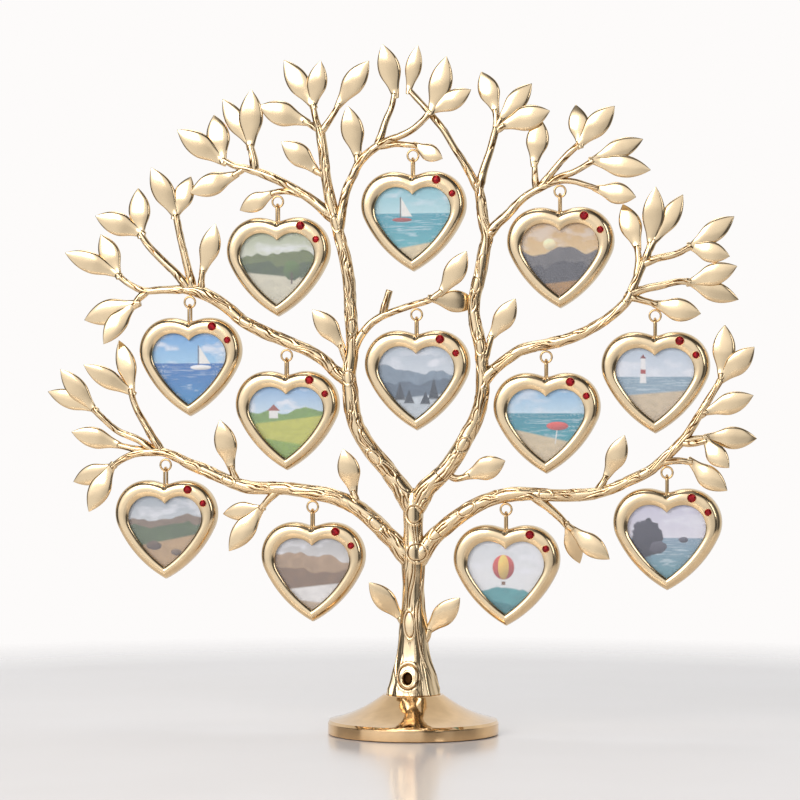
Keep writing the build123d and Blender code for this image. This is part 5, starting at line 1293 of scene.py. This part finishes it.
class TREE_OT_foot(bpy.types.Operator):
    """Turns the round foot and finishes the felt and the screw under it"""
    bl_idname = "photo_tree.foot"
    bl_label = "Foot"

    def execute(self, context):
        shoulder = (FOOT_RADIUS - FOOT_LIP, FOOT_RIM + FOOT_LIP)
        sweep = arc_through(shoulder, FOOT_WAIST, (FOOT_NECK, FOOT_TOP), SLOPE_STEPS)
        turn = np.linspace(0, math.pi / 2, EDGE_STEPS)
        inner = FOOT_RADIUS - ROUNDING
        low = np.stack([inner + ROUNDING * np.sin(turn), FELT_PROUD + ROUNDING * (1 - np.cos(turn))], -1)
        high = np.stack([inner + ROUNDING * np.cos(turn), FOOT_RIM - ROUNDING * (1 - np.sin(turn))], -1)
        bead = [(shoulder[0] + FOOT_BEAD, shoulder[1])]
        top = [(FOOT_NECK - NECK_STEP, FOOT_TOP + PINHOLE), (PINHOLE, FOOT_TOP + PINHOLE)]
        profile = np.concatenate([[(PINHOLE, FELT_PROUD)], low, high, bead, sweep, top])
        make_piece("foot", [lathe(profile)], "foot", "tree", "base_plate")
        keep_node("base_felt", "felt")
        keep_node("base_screw", "steel")
        return {"FINISHED"}


class TREE_OT_limbs(bpy.types.Operator):
    """Carries the trunk, limbs and twigs along their routes and carves their bark"""
    bl_idname = "photo_tree.limbs"
    bl_label = "Trunk and limbs"

    def execute(self, context):
        for casting, node in castings:
            tubes = [trunk_tube()] if casting == "trunk" else []
            for route in routes[casting]:
                thick = route in thick_routes
                step, around = (BARK_STEP, LIMB_AROUND) if thick else (TWIG_STEP, TWIG_AROUND)
                tubes.append(bark_tube(casting, route, step, around))
            # The grooves' patina, with painted shade in the trunk's hollow, goes to the bark finish as a
            # colour attribute
            parts, grooves = zip(*tubes)
            make_piece(node + "_bark", parts, "bark", "tree", node,
                       values={"groove_patina_and_hollow_shade": ("FLOAT", np.concatenate(grooves))})
        return {"FINISHED"}


class TREE_OT_leaves(bpy.types.Operator):
    """Shapes the leaves and sets them on their twigs"""
    bl_idname = "photo_tree.leaves"
    bl_label = "Leaves"

    def execute(self, context):
        for casting, node in castings:
            parts = [leaf_surface(casting, row) for row in leaves[casting]]
            make_piece(node + "_leaves", parts, "gold", "tree", node)
        return {"FINISHED"}


class TREE_OT_hangers(bpy.types.Operator):
    """Bends the rings and links from round wire"""
    bl_idname = "photo_tree.hangers"
    bl_label = "Rings and links"

    def execute(self, context):
        middle = np.array((0, 0, RING_RADIUS))
        rings = [wire_loop(circle_path(ring_bottom(n) + middle, RING_RADIUS), RING_WIRE) for n in HEARTS]
        make_piece("rings", rings, "wire", "tree", "hanging_rings")
        for n in HEARTS:
            link = moved(wire_loop(link_path(), LINK_WIRE, 18), ring_bottom(n))
            make_piece(f"link_{n:02d}", [link], "wire", f"link_{n:02d}", f"hanger_link_{n:02d}")
        return {"FINISHED"}


class TREE_OT_hearts(bpy.types.Operator):
    """Casts the heart frames with their eyes"""
    bl_idname = "photo_tree.hearts"
    bl_label = "Heart frames"

    def execute(self, context):
        eye = wire_loop(circle_path((0, 0, -EYE_DROP), EYE_RADIUS), EYE_WIRE, 14)
        for n in HEARTS:
            parts = [moved(part, heart_top(n)) for part in (bezel_surface(), eye)]
            make_piece(f"heart_{n:02d}", parts, "gold", f"heart_{n:02d}", f"heart_bezel_{n:02d}")
        return {"FINISHED"}


class TREE_OT_stones(bpy.types.Operator):
    """Cuts the red stones and bends the rims that hold them"""
    bl_idname = "photo_tree.stones"
    bl_label = "Stones"

    def execute(self, context):
        stones, rims = zip(*(stone_parts(*values) for values in stone_places))
        for n in HEARTS:
            for name, parts, kind in (("stones", stones, "stone"), ("stone_rims", rims, "wire")):
                make_piece(f"{name}_{n:02d}", [moved(part, heart_top(n)) for part in parts], kind,
                           f"heart_{n:02d}", f"heart_bezel_{n:02d}", smooth=name == "stone_rims")
        return {"FINISHED"}


class TREE_OT_pictures(bpy.types.Operator):
    """Paints the prints, sets the panes before them and finishes the back covers"""
    bl_idname = "photo_tree.pictures"
    bl_label = "Pictures"

    def execute(self, context):
        front = LENS_SEAT - INSERT_CLEARANCE
        pane = heart_plate(LENS_SHARE, front - LENS_THICKNESS, front, PANE_RINGS, PANE_AROUND)
        for n in HEARTS:
            sheet, colour = print_part(n)
            painted = {"picture": ("FLOAT_COLOR", colour)}
            for name, part, values in (("print", sheet, painted), ("pane", pane, None)):
                make_piece(f"{name}_{n:02d}", [moved(part, heart_top(n))], name, f"heart_{n:02d}",
                           f"photo_insert_{n:02d}", smooth=False, values=values)
            keep_node(f"heart_back_{n:02d}", "plastic")
        return {"FINISHED"}


def area_light(name, place_m, size, power, colour):
    """A soft light that points at the middle of the tree."""
    light = bpy.data.lights.new(name, "AREA")
    light.shape = "RECTANGLE"
    light.size, light.size_y = size
    light.energy = power
    light.color = srgb(colour)
    lamp = bpy.data.objects.new(name, light)
    lamp.location = place_m
    away = mathutils.Vector(place_m) - mathutils.Vector(TREE_MIDDLE)
    lamp.rotation_euler = away.to_track_quat("Z", "Y").to_euler()
    bpy.context.scene.collection.objects.link(lamp)


def mixed(tree, blend_type, first, second):
    """Two colours multiplied or added. Each is a node and its output, or a colour."""
    node = add(tree, "ShaderNodeMix", {"data_type": "RGBA", "blend_type": blend_type})
    node.inputs[0].default_value = 1
    for number, value in ((6, first), (7, second)):
        if isinstance(value[0], float):
            node.inputs[number].default_value = value
        else:
            tree.links.new(value[0].outputs[value[1]], node.inputs[number])
    return node, 2


TREE_MIDDLE = (0, 0, 0.18)
CAMERA_BEARING = 12
CAMERA_DISTANCE = 1.5
CAMERA_SHIFT = -0.00665
CAMERA_HEIGHT = 0.1668
# Lights: place, size, watts and colour
lights = {
    "key": ((-0.65, -1.30, 0.85), (0.9, 0.7), 9, "#FFF3E6"),
    "fill": ((1.10, -1.00, 0.70), (0.3, 0.8), 2.5, "#FAFBFF"),
    "top": ((-0.2, 0.10, 1.3), (0.8, 0.5), 4, "#FFFFFF"),
}
# The room's walls: degrees round the tree from the front (0) to the right (90), and how bright it is
# there. The near walls carry the window, the far ones are what the back of the tree sees
near_walls = ((-110, 0.06), (-104, 0.06), (-66, 0.03), (-60, 0.70), (-40, 1.0), (-15, 0.95), (2, 0.70),
              (21, 0.58), (25, 0.25), (29, 0.03), (52, 0.02), (56, 0.22), (66, 0.18), (70, 0.04), (100, 0.06))
far_walls = ((-180, 0.50), (-125, 0.45), (-108, 0.03), (102, 0.03), (125, 0.45), (180, 0.50))
# How bright the walls are at each height of the look: level (0) to straight up (1)
near_heights = ((0.0, 0.62), (0.10, 0.85), (0.35, 1.0), (0.58, 0.95), (0.68, 0.15), (0.85, 0.12), (1.0, 0.35))
far_heights = ((0.0, 0.85), (0.60, 1.0), (0.90, 0.85), (1.0, 0.40))
# Daylight falls in through the window in front, so it is a little blue
DAYLIGHT = (0.93, 0.97, 1.08, 1)
ROOM_STRENGTH = 1.7
BACKDROP = "#FDFBFA"


class TREE_OT_stage(bpy.types.Operator):
    """Sets up the pale table, the soft lights and the camera"""
    bl_idname = "photo_tree.stage"
    bl_label = "Stage"

    def execute(self, context):
        turn = math.radians(CAMERA_BEARING)
        forward = np.array((-math.sin(turn), math.cos(turn), 0))
        right = np.array((math.cos(turn), math.sin(turn), 0))
        lens = bpy.data.cameras.new("camera")
        lens.sensor_width = 36
        lens.lens = 135
        camera = bpy.data.objects.new("camera", lens)
        camera.location = -CAMERA_DISTANCE * forward + CAMERA_SHIFT * right + np.array((0, 0, CAMERA_HEIGHT))
        camera.rotation_euler = (math.pi / 2, 0, turn)
        context.scene.collection.objects.link(camera)
        context.scene.camera = camera

        corners = TABLE_RADIUS * np.array([(-1, -1, 0), (1, -1, 0), (1, 1, 0), (-1, 1, 0)])
        mesh = bpy.data.meshes.new("tabletop")
        mesh.from_pydata(corners.tolist(), [], [(0, 1, 2, 3)])
        floor = bpy.data.objects.new("tabletop", mesh)
        context.scene.collection.objects.link(floor)
        mesh.materials.append(finish_for("table"))

        for name, values in lights.items():
            area_light(name, *values)
        self.add_room(context)
        context.scene.view_settings.view_transform = "Standard"
        return {"FINISHED"}

    def add_room(self, context):
        """A studio: a bright wall in front on the left and behind the tree, and dark corners at both
        sides, which the metal mirrors as brown bands. The camera itself sees a plain white backdrop."""
        world = bpy.data.worlds.new("room")
        context.scene.world = world
        world.use_nodes = True
        tree = world.node_tree
        tree.nodes.clear()
        spot = add(tree, "ShaderNodeTexCoord")
        parts = add(tree, "ShaderNodeSeparateXYZ", Vector=(spot, "Generated"))
        ahead = add(tree, "ShaderNodeMath", {"operation": "MULTIPLY"}, _0=(parts, "Y"))
        ahead.inputs[1].default_value = -1
        bearing = add(tree, "ShaderNodeMath", {"operation": "ARCTAN2"}, _0=(parts, "X"), _1=(ahead, "Value"))
        share = add(tree, "ShaderNodeMapRange", {"From Min": -math.pi, "From Max": math.pi},
                    Value=(bearing, "Value"))
        near, far = ((ramp(tree, share, "Result", [((angle + 180) / 360, level) for angle, level in walls]),
                      "Color") for walls in (near_walls, far_walls))
        near_height, far_height = ((ramp(tree, parts, "Z", heights), "Color")
                                   for heights in (near_heights, far_heights))
        daylight = mixed(tree, "MULTIPLY", near_height, DAYLIGHT)
        room = mixed(tree, "ADD", mixed(tree, "MULTIPLY", near, daylight),
                     mixed(tree, "MULTIPLY", far, far_height))
        light = add(tree, "ShaderNodeBackground", {"Strength": ROOM_STRENGTH}, Color=room)
        backdrop = add(tree, "ShaderNodeBackground", {"Color": (*srgb(BACKDROP), 1)})
        path = add(tree, "ShaderNodeLightPath")
        seen = add(tree, "ShaderNodeMixShader", Fac=(path, "Is Camera Ray"), _1=(light, "Background"),
                   _2=(backdrop, "Background"))
        add(tree, "ShaderNodeOutputWorld", Surface=(seen, "Shader"))


class TREE_PT_panel(bpy.types.Panel):
    """Lists the tree's sizes, colours and pieces"""
    bl_idname = "TREE_PT_panel"
    bl_label = "Photo Tree"
    bl_space_type = "VIEW_3D"
    bl_region_type = "UI"
    bl_category = "Photo Tree"

    def draw(self, context):
        for group in (context.scene.tree_sizes, context.scene.tree_looks):
            box = self.layout.box()
            for name in group.__annotations__:
                box.prop(group, name)
        for operator in operators:
            self.layout.operator(operator.bl_idname)


# In the order in which main() calls them
operators = (TREE_OT_stage, TREE_OT_foot, TREE_OT_limbs, TREE_OT_leaves, TREE_OT_hangers,
             TREE_OT_hearts, TREE_OT_stones, TREE_OT_pictures)


def register():
    for kind in (TreeSizes, TreeLooks, *operators, TREE_PT_panel):
        bpy.utils.register_class(kind)
    bpy.types.Scene.tree_sizes = bpy.props.PointerProperty(type=TreeSizes)
    bpy.types.Scene.tree_looks = bpy.props.PointerProperty(type=TreeLooks)


def unregister():
    del bpy.types.Scene.tree_looks
    del bpy.types.Scene.tree_sizes
    for kind in (TREE_PT_panel, *reversed(operators), TreeLooks, TreeSizes):
        bpy.utils.unregister_class(kind)


def main():
    register()
    steps = bpy.ops.photo_tree
    steps.stage()
    steps.foot()
    steps.limbs()
    steps.leaves()
    steps.hangers()
    steps.hearts()
    steps.stones()
    steps.pictures()


if __name__ == "__main__":
    main()
